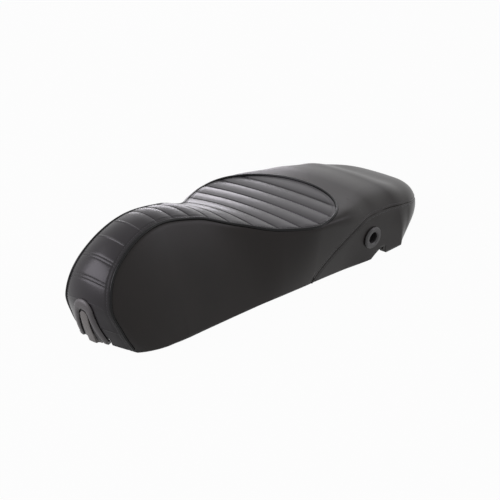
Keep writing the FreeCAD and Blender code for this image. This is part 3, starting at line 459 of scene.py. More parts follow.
@dataclass
class Seams:
    """Lines where the panels meet: the insert's piping, the tail seam, the hem and its notch."""

    form: SeatForm
    tip_length: float = 97.0
    tip_fullness: float = 2.2
    tail_front: float = 24.0
    tail_run: float = 104.0
    tail_height: float = 78.5
    tail_fullness: float = 1.4
    tail_fall: float = 54.0
    tail_fall_run: float = 232.0
    tail_fall_power: float = 1.6
    tail_first_gap: float = 0.02
    tail_gap_growth: float = 1.18
    tail_first_gaps: int = 30
    tail_gap: float = 1.0
    tail_bend: float = 55.0
    tail_bend_gap: float = 0.2
    tail_end: float = 84.0
    arch_rise: float = 20.0
    arch_half: float = 58.0
    arch_back: float = -296.0
    notch_front: float = 145.0
    notch_length: float = 33.0
    notch_height: float = 14.0
    notch_rise: float = 0.88
    notch_rise_power: float = 0.9
    notch_fall: float = 0.04
    piping_end: float = 68.0
    side_steps: int = 420
    tip_steps: int = 90
    cross_steps: int = 24

    def tip(self, angle: float, inset: float = 0.0) -> Pair:
        """Return a point of the insert's tip in plan.

        Args:
            angle: Angle from the tip's side to its middle.
            inset: Distance in from the tip's edge.

        Returns:
            Half width and Y.
        """
        half = self.form.outline(self.form.hip_y)
        width = half.at(half.piping_arc)[0] - inset
        run = self.tip_length - inset
        power = 2 / self.tip_fullness
        y = self.form.hip_y + run * math.sin(angle) ** power
        return width * max(math.cos(angle), 0.0) ** power, y

    def tip_half(self, y: float) -> float:
        """Return the half width of the insert's tip.

        Args:
            y: Place past the hip.

        Returns:
            The half width.
        """
        share = min((y - self.form.hip_y) / self.tip_length, 1.0)
        angle = math.asin(min(max(share, 0.0) ** (self.tip_fullness / 2), 1.0))
        return self.tip(angle)[0]

    def inner_arc(self, station: float) -> float:
        """Return the arc length of the piping, or of the centre line behind the tip.

        Args:
            station: Station of the outline.

        Returns:
            The arc length from the base.
        """
        outline = self.form.outline(station)
        if station <= self.form.hip_y:
            return outline.piping_arc
        if station >= self.form.hip_y + self.tip_length:
            return outline.length
        return outline.arc_at_width(self.tip_half(station))

    def hem(self, x: float, y: float) -> float:
        """Return the height of the lower edge, with the arch under the nose.

        Args:
            x: Place across the seat.
            y: Place along the seat.

        Returns:
            The height.
        """
        if y > self.arch_back or abs(x) >= self.arch_half:
            return self.form.rim
        radius = (self.arch_half ** 2 + self.arch_rise ** 2) / (2 * self.arch_rise)
        return self.form.rim + self.arch_rise - radius + math.sqrt(radius * radius - x * x)

    def tail(self, y: float, margin: float = 0.0) -> float:
        """Return the height of the tail seam in the side view.

        Args:
            y: Place along the seat.
            margin: Distance by which the line is moved in below the seam.

        Returns:
            The height, under the whole form in front of the seam.
        """
        rim = self.form.rim
        front = self.tail_front + margin
        top = rim + self.tail_height - margin
        if y <= front:
            return self.form.axis_z
        power = self.tail_fullness
        if y < front + self.tail_run:
            share = 1 - (y - front) / self.tail_run
            return rim + (top - rim) * (1 - share ** power) ** (1 / power)
        share = (y - front - self.tail_run) / self.tail_fall_run
        return top - self.tail_fall * share ** self.tail_fall_power

    def notch(self, y: float) -> float:
        """Return the height of the lower edge of the tail, with its notch.

        Args:
            y: Place along the seat.

        Returns:
            The height.
        """
        share = (y - self.notch_front) / self.notch_length
        if not 0 < share < 1:
            return self.form.rim
        turn = min(share / self.notch_rise, 1.0) * math.pi / 2
        rise = math.sin(turn) ** self.notch_rise_power
        fall = min((1 - share) / self.notch_fall, 1.0)
        return self.form.rim + self.notch_height * min(rise, fall)

    def piping_line(self, inset: float = 0.0) -> list[Vector]:
        """Return points along the piping, or along a line inside it, from the nose round the tip.

        Args:
            inset: Distance from the piping towards the middle of the insert.

        Returns:
            The points, from the nose on +X to the nose on -X.
        """
        form = self.form
        start = form.nose_station(self.piping_end)
        half = []
        for i in range(self.side_steps):
            station = start + (form.hip_y - start) * i / self.side_steps
            half.append(form.at(station, form.outline(station).piping_arc + inset))
        for i in range(self.tip_steps + 1):
            x, y = self.tip(math.pi / 2 * i / self.tip_steps, inset)
            half.append(form.at(y, form.outline(y).arc_at_width(x)))
        return half + mirrored(half[:-1])

    def cross_line(self, station: float, inset: float) -> list[Vector]:
        """Return points across the insert at a station, kept an inset away from the piping."""
        half = self.form.half_row(station, self.inner_arc(station) + inset, self.cross_steps)
        return half + mirrored(half[:-1])

    def tail_line(self, margin: float = 0.0) -> list[Vector]:
        """Return points along the tail seam, or along a line beside it.

        Args:
            margin: Distance by which the line is moved in below the seam.

        Returns:
            The points, from the hem on +X round the back to the hem on -X.
        """
        form = self.form
        front = self.tail_front + margin
        gaps = range(self.tail_first_gaps)
        stations = [front + self.tail_first_gap * self.tail_gap_growth ** i for i in gaps]
        bend, last = form.tail_station(self.tail_bend), form.tail_station(self.tail_end)
        while stations[-1] < last:
            gap = self.tail_gap if stations[-1] < bend else self.tail_bend_gap
            stations.append(stations[-1] + gap)
        half = []
        for station in stations:
            arc = form.crossing(station, lambda x, y: self.tail(y, margin))
            if arc is None:
                break
            point = form.at(station, arc)
            if point.z >= form.rim:
                half.append(point)
        return half + mirrored(half)


class SeamKind(Enum):
    """Ways in which a seam across the insert is sewn."""

    PLEAT = "pleat"
    VALLEY = "valley"
    WELT = "welt"
    TWIN = "twin"
    FAINT = "faint"


class Finish(Enum):
    """Kinds of surface that a material is built for."""

    VINYL = "vinyl"
    PLASTIC = "plastic"
    METAL = "metal"
    RUBBER = "rubber"
    FOAM = "foam"
    THREAD = "thread"


@dataclass(frozen=True)
class Surface:
    """A finish: its colour and gloss, and the scale of its grain."""

    CLOUD_CELLS = 60
    CLOUD_DETAIL = 4.0
    GRAIN_DETAIL = 3.0
    TINT_PLACES = (0.3, 0.7)
    GLOSS_SPREAD = 0.05

    name: str
    kind: Finish
    colour: Triple
    roughness: float
    grain: float = 900.0
    relief: float = 0.15
    depth: float = 0.0002
    mottling: float = 0.12
    metallic: float = 0.0
    specular: float = 0.5
    sheen: float = 0.0

    def material(self) -> Material:
        """Return the material, with colour, gloss and relief that vary over the surface.

        Returns:
            The material, which is made once.
        """
        name = f"{self.name}_finish"
        made = bpy.data.materials.get(name)
        if made:
            return made
        made = bpy.data.materials.new(name)
        made.use_nodes = True
        tree = made.node_tree
        shader = tree.nodes["Principled BSDF"]
        shader.inputs["Metallic"].default_value = self.metallic
        shader.inputs["Specular IOR Level"].default_value = self.specular
        shader.inputs["Sheen Weight"].default_value = self.sheen
        place = tree.nodes.new("ShaderNodeTexCoord").outputs["Object"]
        cloud = self.noise(tree, place, self.grain / self.CLOUD_CELLS, self.CLOUD_DETAIL)
        self.tint(tree, cloud, shader.inputs["Base Color"])
        self.gloss(tree, cloud, shader.inputs["Roughness"])
        self.bump(tree, place, shader.inputs["Normal"])
        made.diffuse_color = (*self.colour, 1.0)
        return made

    def noise(self, tree: NodeTree, place: NodeSocket, scale: float, detail: float) -> NodeSocket:
        """Return a noise that reads the piece's own coordinates.

        Args:
            tree: Nodes of the material.
            place: Coordinates to read.
            scale: Scale of the noise.
            detail: Its finer layers.

        Returns:
            The noise's output.
        """
        node = tree.nodes.new("ShaderNodeTexNoise")
        node.inputs["Scale"].default_value = scale
        node.inputs["Detail"].default_value = detail
        tree.links.new(place, node.inputs["Vector"])
        return node.outputs["Fac"]

    def tint(self, tree: NodeTree, cloud: NodeSocket, socket: NodeSocket) -> None:
        """Vary the colour a little, from darker to lighter.

        Args:
            tree: Nodes of the material.
            cloud: The noise to follow.
            socket: The shader's colour.
        """
        ramp = tree.nodes.new("ShaderNodeValToRGB")
        for stop, place, side in zip(ramp.color_ramp.elements, self.TINT_PLACES, (-1, 1)):
            stop.position = place
            stop.color = (*(c * (1 + side * self.mottling) for c in self.colour), 1.0)
        tree.links.new(cloud, ramp.inputs["Fac"])
        tree.links.new(ramp.outputs["Color"], socket)

    def gloss(self, tree: NodeTree, cloud: NodeSocket, socket: NodeSocket) -> None:
        """Vary the roughness a little.

        Args:
            tree: Nodes of the material.
            cloud: The noise to follow.
            socket: The shader's roughness.
        """
        spread = tree.nodes.new("ShaderNodeMapRange")
        spread.inputs["To Min"].default_value = self.roughness - self.GLOSS_SPREAD
        spread.inputs["To Max"].default_value = self.roughness + self.GLOSS_SPREAD
        tree.links.new(cloud, spread.inputs["Value"])
        tree.links.new(spread.outputs["Result"], socket)

    def bump(self, tree: NodeTree, place: NodeSocket, socket: NodeSocket) -> None:
        """Add the relief that suits the kind of surface.

        Args:
            tree: Nodes of the material.
            place: Coordinates to read.
            socket: The shader's normal.
        """
        if self.kind in (Finish.VINYL, Finish.FOAM):
            cells = tree.nodes.new("ShaderNodeTexVoronoi")
            cells.inputs["Scale"].default_value = self.grain
            cells.feature = "DISTANCE_TO_EDGE" if self.kind is Finish.VINYL else "F1"
            tree.links.new(place, cells.inputs["Vector"])
            height = cells.outputs["Distance"]
        else:
            height = self.noise(tree, place, self.grain, self.GRAIN_DETAIL)
        bump = tree.nodes.new("ShaderNodeBump")
        bump.inputs["Strength"].default_value = self.relief
        bump.inputs["Distance"].default_value = self.depth
        tree.links.new(height, bump.inputs["Height"])
        tree.links.new(bump.outputs["Normal"], socket)


COVER_VINYL = Surface("cover_vinyl", Finish.VINYL, (0.0145, 0.0115, 0.0105), 0.35,
                      grain=1100, relief=0.10, specular=0.24)
# Black vinyl like the cover; its purple tint and slightly lighter tone are painted reflection of
# cool light on the top of the seat.
INSERT_VINYL = Surface("insert_vinyl", Finish.VINYL, (0.016, 0.0135, 0.0160), 0.30,
                       grain=1100, relief=0.10, specular=0.34)
PIPING_VINYL = Surface("piping_vinyl", Finish.VINYL, (0.005, 0.005, 0.0055), 0.24,
                       grain=1600, relief=0.05, specular=0.2)
THREAD = Surface("stitch_thread", Finish.THREAD, (0.035, 0.033, 0.036), 0.6,
                 grain=3000, relief=0.3, sheen=0.2)
HOOK_PLASTIC = Surface("hook_plastic", Finish.PLASTIC, (0.085, 0.079, 0.080), 0.42,
                       grain=1500, relief=0.08)
TONGUE_PLASTIC = Surface("tongue_plastic", Finish.PLASTIC, (0.15, 0.14, 0.132), 0.45,
                         grain=1500, relief=0.08)
PAN_PLASTIC = Surface("pan_plastic", Finish.PLASTIC, (0.24, 0.235, 0.23), 0.55,
                      grain=1300, relief=0.1)
BEZEL_PLASTIC = Surface("bezel_plastic", Finish.PLASTIC, (0.055, 0.053, 0.054), 0.38,
                        grain=1500, relief=0.06)
SLEEVE_PLASTIC = Surface("sleeve_plastic", Finish.PLASTIC, (0.006, 0.006, 0.006), 0.6,
                         grain=1500, relief=0.06)
BRACKET_PAINT = Surface("bracket_paint", Finish.PLASTIC, (0.025, 0.025, 0.026), 0.5,
                        grain=700, relief=0.12)
PIN_STEEL = Surface("pin_steel", Finish.METAL, (0.09, 0.09, 0.092), 0.4,
                    grain=500, relief=0.05, metallic=1.0)
ZINC_STEEL = Surface("zinc_steel", Finish.METAL, (0.55, 0.55, 0.52), 0.35,
                     grain=500, relief=0.05, metallic=1.0)
BUFFER_RUBBER = Surface("buffer_rubber", Finish.RUBBER, (0.016, 0.016, 0.016), 0.7,
                        grain=1200, relief=0.1)
CUSHION_FOAM = Surface("cushion_foam", Finish.FOAM, (0.55, 0.48, 0.28), 0.9,
                       grain=700, relief=0.4)

NODE_FINISHES = {
    "seat_pan": PAN_PLASTIC,
    "foam_cushion": CUSHION_FOAM,
    "hook_pivot_pin": PIN_STEEL,
    "hook_base_screws": ZINC_STEEL,
    "hinge_bracket": BRACKET_PAINT,
    "hinge_screws": ZINC_STEEL,
    "hinge_washers": ZINC_STEEL,
    "latch_striker": ZINC_STEEL,
    "striker_plate": BRACKET_PAINT,
    "striker_screws": ZINC_STEEL,
    "striker_washers": ZINC_STEEL,
    "cover_staples": ZINC_STEEL,
    "handle_bezel_left": BEZEL_PLASTIC,
    "handle_bezel_right": BEZEL_PLASTIC,
    "handle_sleeve_left": SLEEVE_PLASTIC,
    "handle_sleeve_right": SLEEVE_PLASTIC,
    "buffer_front_left": BUFFER_RUBBER,
    "buffer_front_right": BUFFER_RUBBER,
    "buffer_rear_left": BUFFER_RUBBER,
    "buffer_rear_right": BUFFER_RUBBER,
}


def add_mesh(name: str, shape: BMesh, surface: Surface) -> Object:
    """Add a shape drawn in millimetres as a smooth object in metres.

    Args:
        name: Name of the object.
        shape: The shape, which is freed.
        surface: Its finish.

    Returns:
        The new object, at the origin.
    """
    bmesh.ops.scale(shape, vec=(MM, MM, MM), verts=shape.verts)
    mesh = bpy.data.meshes.new(name)
    shape.to_mesh(mesh)
    shape.free()
    mesh.shade_smooth()
    mesh.materials.append(surface.material())
    made = bpy.data.objects.new(name, mesh)
    bpy.context.scene.collection.objects.link(made)
    return made


def cut_along(shape: BMesh, height: Height, keep_above: bool) -> None:
    """Cut a sheet along a line given as a height and drop one side.

    Args:
        shape: The sheet.
        height: Height of the line as a function of x and y.
        keep_above: Whether the side above the line stays.
    """
    for vert in shape.verts:
        vert.co.z -= height(vert.co.x, vert.co.y)
    geometry = shape.verts[:] + shape.edges[:] + shape.faces[:]
    bmesh.ops.bisect_plane(shape, geom=geometry, dist=ON_PLANE, plane_co=(0, 0, 0),
                           plane_no=(0, 0, 1), clear_inner=keep_above,
                           clear_outer=not keep_above)
    for vert in shape.verts:
        vert.co.z += height(vert.co.x, vert.co.y)


def ring(centre: Vector, one: Vector, two: Vector, radius: float, sides: int) -> list[Vector]:
    """Return points round a centre.

    Args:
        centre: Middle of the ring.
        one: Direction of the first point.
        two: Direction square to it.
        radius: Radius of the ring.
        sides: Number of points.

    Returns:
        The points, from the first direction towards the second.
    """
    angles = [2 * math.pi * k / sides for k in range(sides)]
    return [centre + (one * math.cos(a) + two * math.sin(a)) * radius for a in angles]


def skin_rings(shape: BMesh, rings: Sequence[Sequence[Vector]]) -> None:
    """Add a closed skin over rings of points.

    Args:
        shape: The shape that gets the skin.
        rings: Rings with the same number of points, from one end to the other.
    """
    verts = [[shape.verts.new(point) for point in points] for points in rings]
    for one, two in zip(verts, verts[1:]):
        for k in range(len(one)):
            j = (k + 1) % len(one)
            shape.faces.new((one[k], one[j], two[j], two[k]))
    shape.faces.new(list(reversed(verts[0])))
    shape.faces.new(verts[-1])


@dataclass
class Panel:
    """A sewn panel of the upholstery, laid on the seat's form."""

    form: SeatForm
    seams: Seams
    name: str
    surface: Surface
    thickness: float = 1.3
    overlap: float = 6.0
    hem_width: float = 12.0
    hem_reach: float = 0.35
    notch_step: float = 1.0
    notch_hem_width: float = 2.0
    first_gap: float = 0.05
    gap_growth: float = 1.3
    row_dip: float = 0.3
    row_width: float = 1.3

    def seam_places(self, count: int) -> list[float]:
        """Return stations at the front of the tail seam, closest together at its start."""
        gaps = [self.first_gap * self.gap_growth ** i for i in range(count)]
        return [self.seams.tail_front + gap for gap in gaps]

    def tip_places(self, count: int) -> list[float]:
        """Return stations along the insert's tip, closest together at its end."""
        return [self.seams.tip(math.pi / 2 * i / count)[1] for i in range(count + 1)]

    def grid(self, rows: Sequence[Sequence[Vector]]) -> BMesh:
        """Return a sheet through rows of points, with touching points merged.

        Args:
            rows: Rows with the same number of points.

        Returns:
            The sheet.
        """
        shape = bmesh.new()
        verts = [[shape.verts.new(point) for point in row] for row in rows]
        for one, two in zip(verts, verts[1:]):
            for a, b, c, d in zip(one, one[1:], two[1:], two):
                shape.faces.new((a, b, c, d))
        bmesh.ops.remove_doubles(shape, verts=shape.verts, dist=MERGE)
        bmesh.ops.dissolve_degenerate(shape, dist=ON_PLANE, edges=shape.edges)
        return shape

    def both_sides(self, rows: Sequence[Sequence[Vector]]) -> BMesh:
        """Return a sheet through rows of points and through their mirror images.

        Args:
            rows: Rows of points on +X.

        Returns:
            The sheet, merged along the centre line.
        """
        shape = self.grid(rows)
        other = self.grid([mirrored(row) for row in rows])
        mesh = bpy.data.meshes.new("mirror")
        other.to_mesh(mesh)
        other.free()
        shape.from_mesh(mesh)
        bpy.data.meshes.remove(mesh)
        bmesh.ops.remove_doubles(shape, verts=shape.verts, dist=MERGE)
        return shape

    def face_out(self, shape: BMesh) -> None:
        """Turn the faces of a sheet to the outside of the form.

        Args:
            shape: The sheet.
        """
        shape.normal_update()
        axis = Vector((0, 0, self.form.axis_z))
        total = 0.0
        for face in shape.faces:
            middle = face.calc_center_median()
            axis.y = min(max(middle.y, self.form.nose_y), self.form.tail_y)
            total += face.normal.dot(middle - axis)
        if total < 0:
            bmesh.ops.reverse_faces(shape, faces=shape.faces)
        shape.normal_update()

    def press(self, shape: BMesh, inset: Callable[[Vector], float]) -> None:
        """Move every point of a sheet in along its normal.

        Args:
            shape: The sheet.
            inset: Inset as a function of the point.
        """
        shape.normal_update()
        moves = [(vert, vert.normal * inset(vert.co)) for vert in shape.verts]
        for vert, move in moves:
            vert.co -= move

    def turn_hem(self, shape: BMesh, height: Height) -> None:
        """Turn the lower edge of a sheet under, towards the inside of the seat.

        Args:
            shape: The sheet.
            height: Height of the lower edge as a function of x and y.
        """
        edges = []
        for edge in (edge for edge in shape.edges if edge.is_boundary):
            places = [vert.co for vert in edge.verts]
            if all(abs(co.z - height(co.x, co.y)) < self.hem_reach for co in places):
                edges.append(edge)
        made = bmesh.ops.extrude_edge_only(shape, edges=edges)["geom"]
        for vert in (item for item in made if isinstance(item, BMVert)):
            middle = min(max(vert.co.y, self.form.nose_y), self.form.tail_y)
            raised = self.seams.notch(vert.co.y) > self.form.rim + self.notch_step
            width = self.notch_hem_width if raised else self.hem_width
            vert.co -= Vector((vert.co.x, vert.co.y - middle, 0)).normalized() * width

    def finish(self, shape: BMesh, nodes: Sequence[str], slot: str) -> Object:
        """Add the sheet as a padded piece with a thickness, in place of its solids.

        Args:
            shape: The sheet, which is freed.
            nodes: Nodes that the piece replaces.
            slot: Not used.

        Returns:
            The new piece.
        """
        made = add_mesh(self.name, shape, self.surface)
        wall = made.modifiers.new("thickness", "SOLIDIFY")
        wall.thickness = self.thickness * MM
        wall.offset = -1.0
        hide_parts(*nodes)
        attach(made, SEAT_BODY)
        return made


@dataclass
class MainCover(Panel):
    """Smooth cover of both sides, which runs on over the pillion."""

    columns: int = 44
    nose_end: float = 89.0
    tail_end: float = 82.0
    station_gap: float = 3.0
    most_stations: int = 400
    tip_steps: int = 70
    tip_room: int = 9
    tip_gap: float = 1.0
    seam_steps: int = 16
    rear_start: float = 55.0
    rear_gap: float = 0.8
    rear_steps: int = 80
    piping_roll: float = 3.6
    piping_dip: float = 1.5
    seam_roll: float = 3.4
    seam_dip: float = 1.1

    def stations(self) -> list[float]:
        """Return stations along the seat, close together where the seams cross them.

        Returns:
            The stations, rising.
        """
        form, nose = self.form, self.form.nose_station(self.nose_end)
        tip = form.hip_y + self.seams.tip_length
        tail, rear = form.tail_station(self.tail_end), form.tail_station(self.rear_start)
        places = [nose + self.station_gap * i for i in range(self.most_stations)]
        places = [p for p in places if p < form.hip_y or tip + self.tip_room < p < tail]
        places += self.tip_places(self.tip_steps)
        places += self.seam_places(self.seam_steps)
        places += [tip + self.tip_gap * i for i in range(1, self.tip_room)]
        places += [rear + self.rear_gap * i for i in range(self.rear_steps)]
        return sorted(set(round(p, 3) for p in places))

    def build(self) -> Object:
        """Build the cover.

        Returns:
            The new piece.
        """
        form, seams = self.form, self.seams
        shares = cosine_shares(self.columns)
        rows = []
        for station in self.stations():
            high = seams.inner_arc(station)
            seam = form.crossing(station, lambda x, y: seams.tail(y)) or 0.0
            low = min(max(seam - self.overlap, 0.0), high)
            rows.append([form.at(station, low + (high - low) * share) for share in shares])
        shape = self.both_sides(rows)
        cut_along(shape, lambda x, y: seams.tail(y), True)
        cut_along(shape, seams.hem, True)
        self.face_out(shape)
        piping = near_tree(seams.piping_line())
        line = near_tree(seams.tail_line())
        self.press(shape, lambda point: self.inset(piping.find(point)[2], line.find(point)[2]))
        self.turn_hem(shape, seams.hem)
        return self.finish(shape, ("main_cover",), "cover_vinyl")

    def inset(self, from_piping: float, from_seam: float) -> float:
        """Return how far the cover is drawn in near the piping and near the tail seam.

        Args:
            from_piping: Distance from the piping.
            from_seam: Distance from the tail seam.

        Returns:
            The inset.
        """
        roll = rolled_edge(from_piping, self.piping_roll) * self.piping_dip
        fold = rolled_edge(from_seam, self.seam_roll) * self.seam_dip
        return roll + fold + self.row_dip * sewn_line(from_seam - STITCH_ROW, self.row_width)


@dataclass
class TailPanel(Panel):
    """Lower panel of the cover round the tail, below the stitched seam."""

    columns: int = 34
    tail_end: float = 86.0
    station_gap: float = 1.1
    rear_start: float = 50.0
    rear_gap: float = 0.8
    seam_steps: int = 18
    seam_roll: float = 3.0
    seam_dip: float = 1.0
    socket_room: float = 13.0

    def stations(self) -> list[float]:
        """Return stations from the front of the seam round the tail.

        Returns:
            The stations, rising.
        """
        places = self.seam_places(self.seam_steps)
        rear = self.form.tail_station(self.rear_start)
        while places[-1] < self.form.tail_station(self.tail_end):
            places.append(places[-1] + (self.station_gap if places[-1] < rear else self.rear_gap))
        return places

    def build(self) -> Object:
        """Build the panel.

        Returns:
            The new piece.
        """
        form, seams = self.form, self.seams
        shares = cosine_shares(self.columns)
        rows = []
        for station in self.stations():
            high = form.outline(station).length
            seam = form.crossing(station, lambda x, y: seams.tail(y))
            if seam is not None:
                high = min(seam + self.overlap, high)
            rows.append([form.at(station, high * share) for share in shares])
        shape = self.both_sides(rows)
        cut_along(shape, lambda x, y: seams.tail(y), False)
        cut_along(shape, lambda x, y: seams.notch(y), True)
        self.face_out(shape)
        line = near_tree(seams.tail_line())
        self.press(shape, lambda point: self.inset(line.find(point)[2]))
        self.open_sockets(shape)
        self.turn_hem(shape, lambda x, y: seams.notch(y))
        return self.finish(shape, ("tail_panel",), "cover_vinyl")

    def inset(self, from_seam: float) -> float:
        """Return how far the panel is drawn in near the seam and its stitch row."""
        fold = rolled_edge(from_seam, self.seam_roll) * self.seam_dip
        return fold + self.row_dip * sewn_line(from_seam - STITCH_ROW, self.row_width)

    def open_sockets(self, shape: BMesh) -> None:
        """Open the panel behind each handle socket, inside the bezel's flange.

        Args:
            shape: The sheet.
        """
        for node in ("handle_bezel_left", "handle_bezel_right"):
            low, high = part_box(node)
            middle = (Vector(low) + Vector(high)) / 2 / MM
            inside = []
            for face in shape.faces:
                if (face.calc_center_median() - middle).length < self.socket_room:
                    inside.append(face)
            bmesh.ops.delete(shape, geom=inside, context="FACES")


@dataclass
class PleatedInsert(Panel):
    """Padded insert over the nose and the rider's place, with sewn pleats across it."""

    columns: int = 56
    nose_end: float = 88.0
    tip_steps: int = 60
    pitch: float = 31.0
    last_pleat: float = 86.0
    pleats: int = 18
    roll_depth: float = 1.9
    crease_depth: float = 1.7
    crease_width: float = 1.0
    valley_depth: float = 1.2
    welt_height: float = 0.8
    twin_spread: float = 2.3
    twin_depth: float = 0.6
    twin_inset: float = 2.0
    faint_height: float = 0.35
    edge_roll: float = 3.6
    edge_dip: float = 1.3
    edge_ease: float = 14.0
    edge_share: float = 0.3
    stitch_inset: float = 6.5
    stitch_dip: float = 0.45
    stitch_width: float = 1.2
    slot_inner: float = 20.0
    slot_outer: float = 32.2
    slot_top: float = 30.0
    nose_kinds: tuple[SeamKind, ...] = (
        SeamKind.VALLEY, SeamKind.WELT, SeamKind.WELT, SeamKind.TWIN,
        SeamKind.TWIN, SeamKind.FAINT, SeamKind.FAINT, SeamKind.FAINT,
    )
    steps: tuple[float, ...] = (
        0, 0.4, 0.8, 1.3, 1.8, 2.3, 2.8, 3.4, 4.6, 6.5, 8.6, 11.0, 13.3, 15.5,
    )

    def kind(self, index: int) -> SeamKind:
        """Return how a seam is sewn, counted from the tip."""
        from_nose = index - (self.pleats - len(self.nose_kinds))
        return SeamKind.PLEAT if from_nose < 0 else self.nose_kinds[from_nose]

    def seam_stations(self) -> list[float]:
        """Return the stations of the seams across the insert, from the tip to the nose."""
        return [self.last_pleat - self.pitch * k for k in range(self.pleats)]

    def twin_lines(self) -> list[list[Vector]]:
        """Return the lines of both stitch rows of each twin seam.

        Returns:
            The lines, each from side to side.
        """
        lines = []
        inset = self.stitch_inset + self.twin_inset
        for k, seam in enumerate(self.seam_stations()):
            if self.kind(k) is SeamKind.TWIN:
                for side in (-1, 1):
                    lines.append(self.seams.cross_line(seam + side * self.twin_spread, inset))
        return lines

    def stations(self) -> list[float]:
        """Return stations along the insert, close together at its seams.

        Returns:
            The stations, rising.
        """
        first = self.form.nose_station(self.nose_end)
        gaps = [side * step for step in self.steps for side in (-1, 1)]
        places = [seam + gap for seam in self.seam_stations() for gap in gaps]
        places = [place for place in places if first < place < self.last_pleat]
        places += [first, *self.tip_places(self.tip_steps)]
        return sorted(set(round(p, 3) for p in places))

    def build(self) -> Object:
        """Build the insert.

        Returns:
            The new piece.
        """
        form, seams = self.form, self.seams
        shares = cosine_shares(self.columns)
        rows = []
        for station in self.stations():
            length = form.outline(station).length
            run = length - seams.inner_arc(station)
            row = []
            for share in shares:
                point = form.at(station, length - abs(2 * share - 1) * run)
                row.append(Vector((math.copysign(point.x, 0.5 - share), point.y, point.z)))
            rows.append(row)
        shape = self.grid(rows)
        cut_along(shape, seams.hem, True)
        self.cut_slots(shape)
        self.face_out(shape)
        piping = near_tree(seams.piping_line())
        self.press(shape, lambda point: self.inset(point, piping.find(point)[2]))
        self.turn_hem(shape, seams.hem)
        return self.finish(shape, ("ribbed_insert",), "insert_vinyl")

    def cut_slots(self, shape: BMesh) -> None:
        """Cut a slot in the nose for each eye of the hook.

        Args:
            shape: The sheet.
        """
        edges = [side * edge for side in (-1, 1) for edge in (self.slot_inner, self.slot_outer)]
        planes = [((edge, 0, 0), (1, 0, 0)) for edge in edges]
        planes.append(((0, 0, self.slot_top), (0, 0, 1)))
        for place, normal in planes:
            near = [f for f in shape.faces if f.calc_center_median().y < self.form.nose_y]
            geometry = list({item for f in near for item in (f, *f.edges, *f.verts)})
            bmesh.ops.bisect_plane(shape, geom=geometry, dist=ON_PLANE, plane_co=place,
                                   plane_no=normal)
        inside = []
        for face in shape.faces:
            middle = face.calc_center_median()
            if middle.y < self.form.nose_y and middle.z < self.slot_top:
                if self.slot_inner < abs(middle.x) < self.slot_outer:
                    inside.append(face)
        bmesh.ops.delete(shape, geom=inside, context="FACES")

    def inset(self, point: Vector, from_piping: float) -> float:
        """Return how far the insert is drawn in by its pleats and near the piping.

        Args:
            point: Point of the insert.
            from_piping: Its distance from the piping.

        Returns:
            The inset.
        """
        steps = (self.last_pleat - self.form.station_of(point)) / self.pitch
        nearest = min(max(round(steps), 0), self.pleats - 1)
        distance = abs(steps - nearest) * self.pitch
        ease = smooth_step(from_piping / self.edge_ease)
        share = self.edge_share + (1 - self.edge_share) * ease
        roll = rolled_edge(from_piping, self.edge_roll) * self.edge_dip
        stitch = self.stitch_dip * sewn_line(from_piping - self.stitch_inset, self.stitch_width)
        return self.fold(self.kind(nearest), distance) * share + roll + stitch

    def fold(self, kind: SeamKind, distance: float) -> float:
        """Return how far the insert is drawn in at a distance from a seam.

        Args:
            kind: How the seam is sewn.
            distance: Distance from the seam's middle.

        Returns:
            The inset, less than zero where the seam stands out.
        """
        arch = rolled_edge(2 * distance, self.pitch)
        line = sewn_line(distance, self.crease_width)
        if kind is SeamKind.PLEAT:
            return self.roll_depth * arch + self.crease_depth * line
        if kind is SeamKind.VALLEY:
            return self.valley_depth * arch + self.faint_height * line
        if kind is SeamKind.WELT:
            return -self.welt_height * line
        if kind is SeamKind.TWIN:
            return self.twin_depth * sewn_line(distance - self.twin_spread, self.crease_width)
        return -self.faint_height * line


@dataclass
class Piping:
    """Round piping between the insert and the cover."""

    seams: Seams
    radius: float = 2.1
    sides: int = 16
    step: float = 2.5
    lift: float = 0.5

    def build(self) -> Object:
        """Build the piping as a tube with closed ends.

        Returns:
            The new piece.
        """
        shape = bmesh.new()
        rings = []
        for point, way in even_points(self.seams.piping_line(), self.step):
            out = Vector((point.x, 0, point.z))
            out = (out - way * out.dot(way)).normalized()
            centre = point + out * self.lift
            rings.append(ring(centre, out, way.cross(out), self.radius, self.sides))
        skin_rings(shape, rings)
        bmesh.ops.recalc_face_normals(shape, faces=shape.faces)
        made = add_mesh("insert_piping_tube", shape, PIPING_VINYL)
        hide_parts("insert_piping")
        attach(made, SEAT_BODY)
        return made


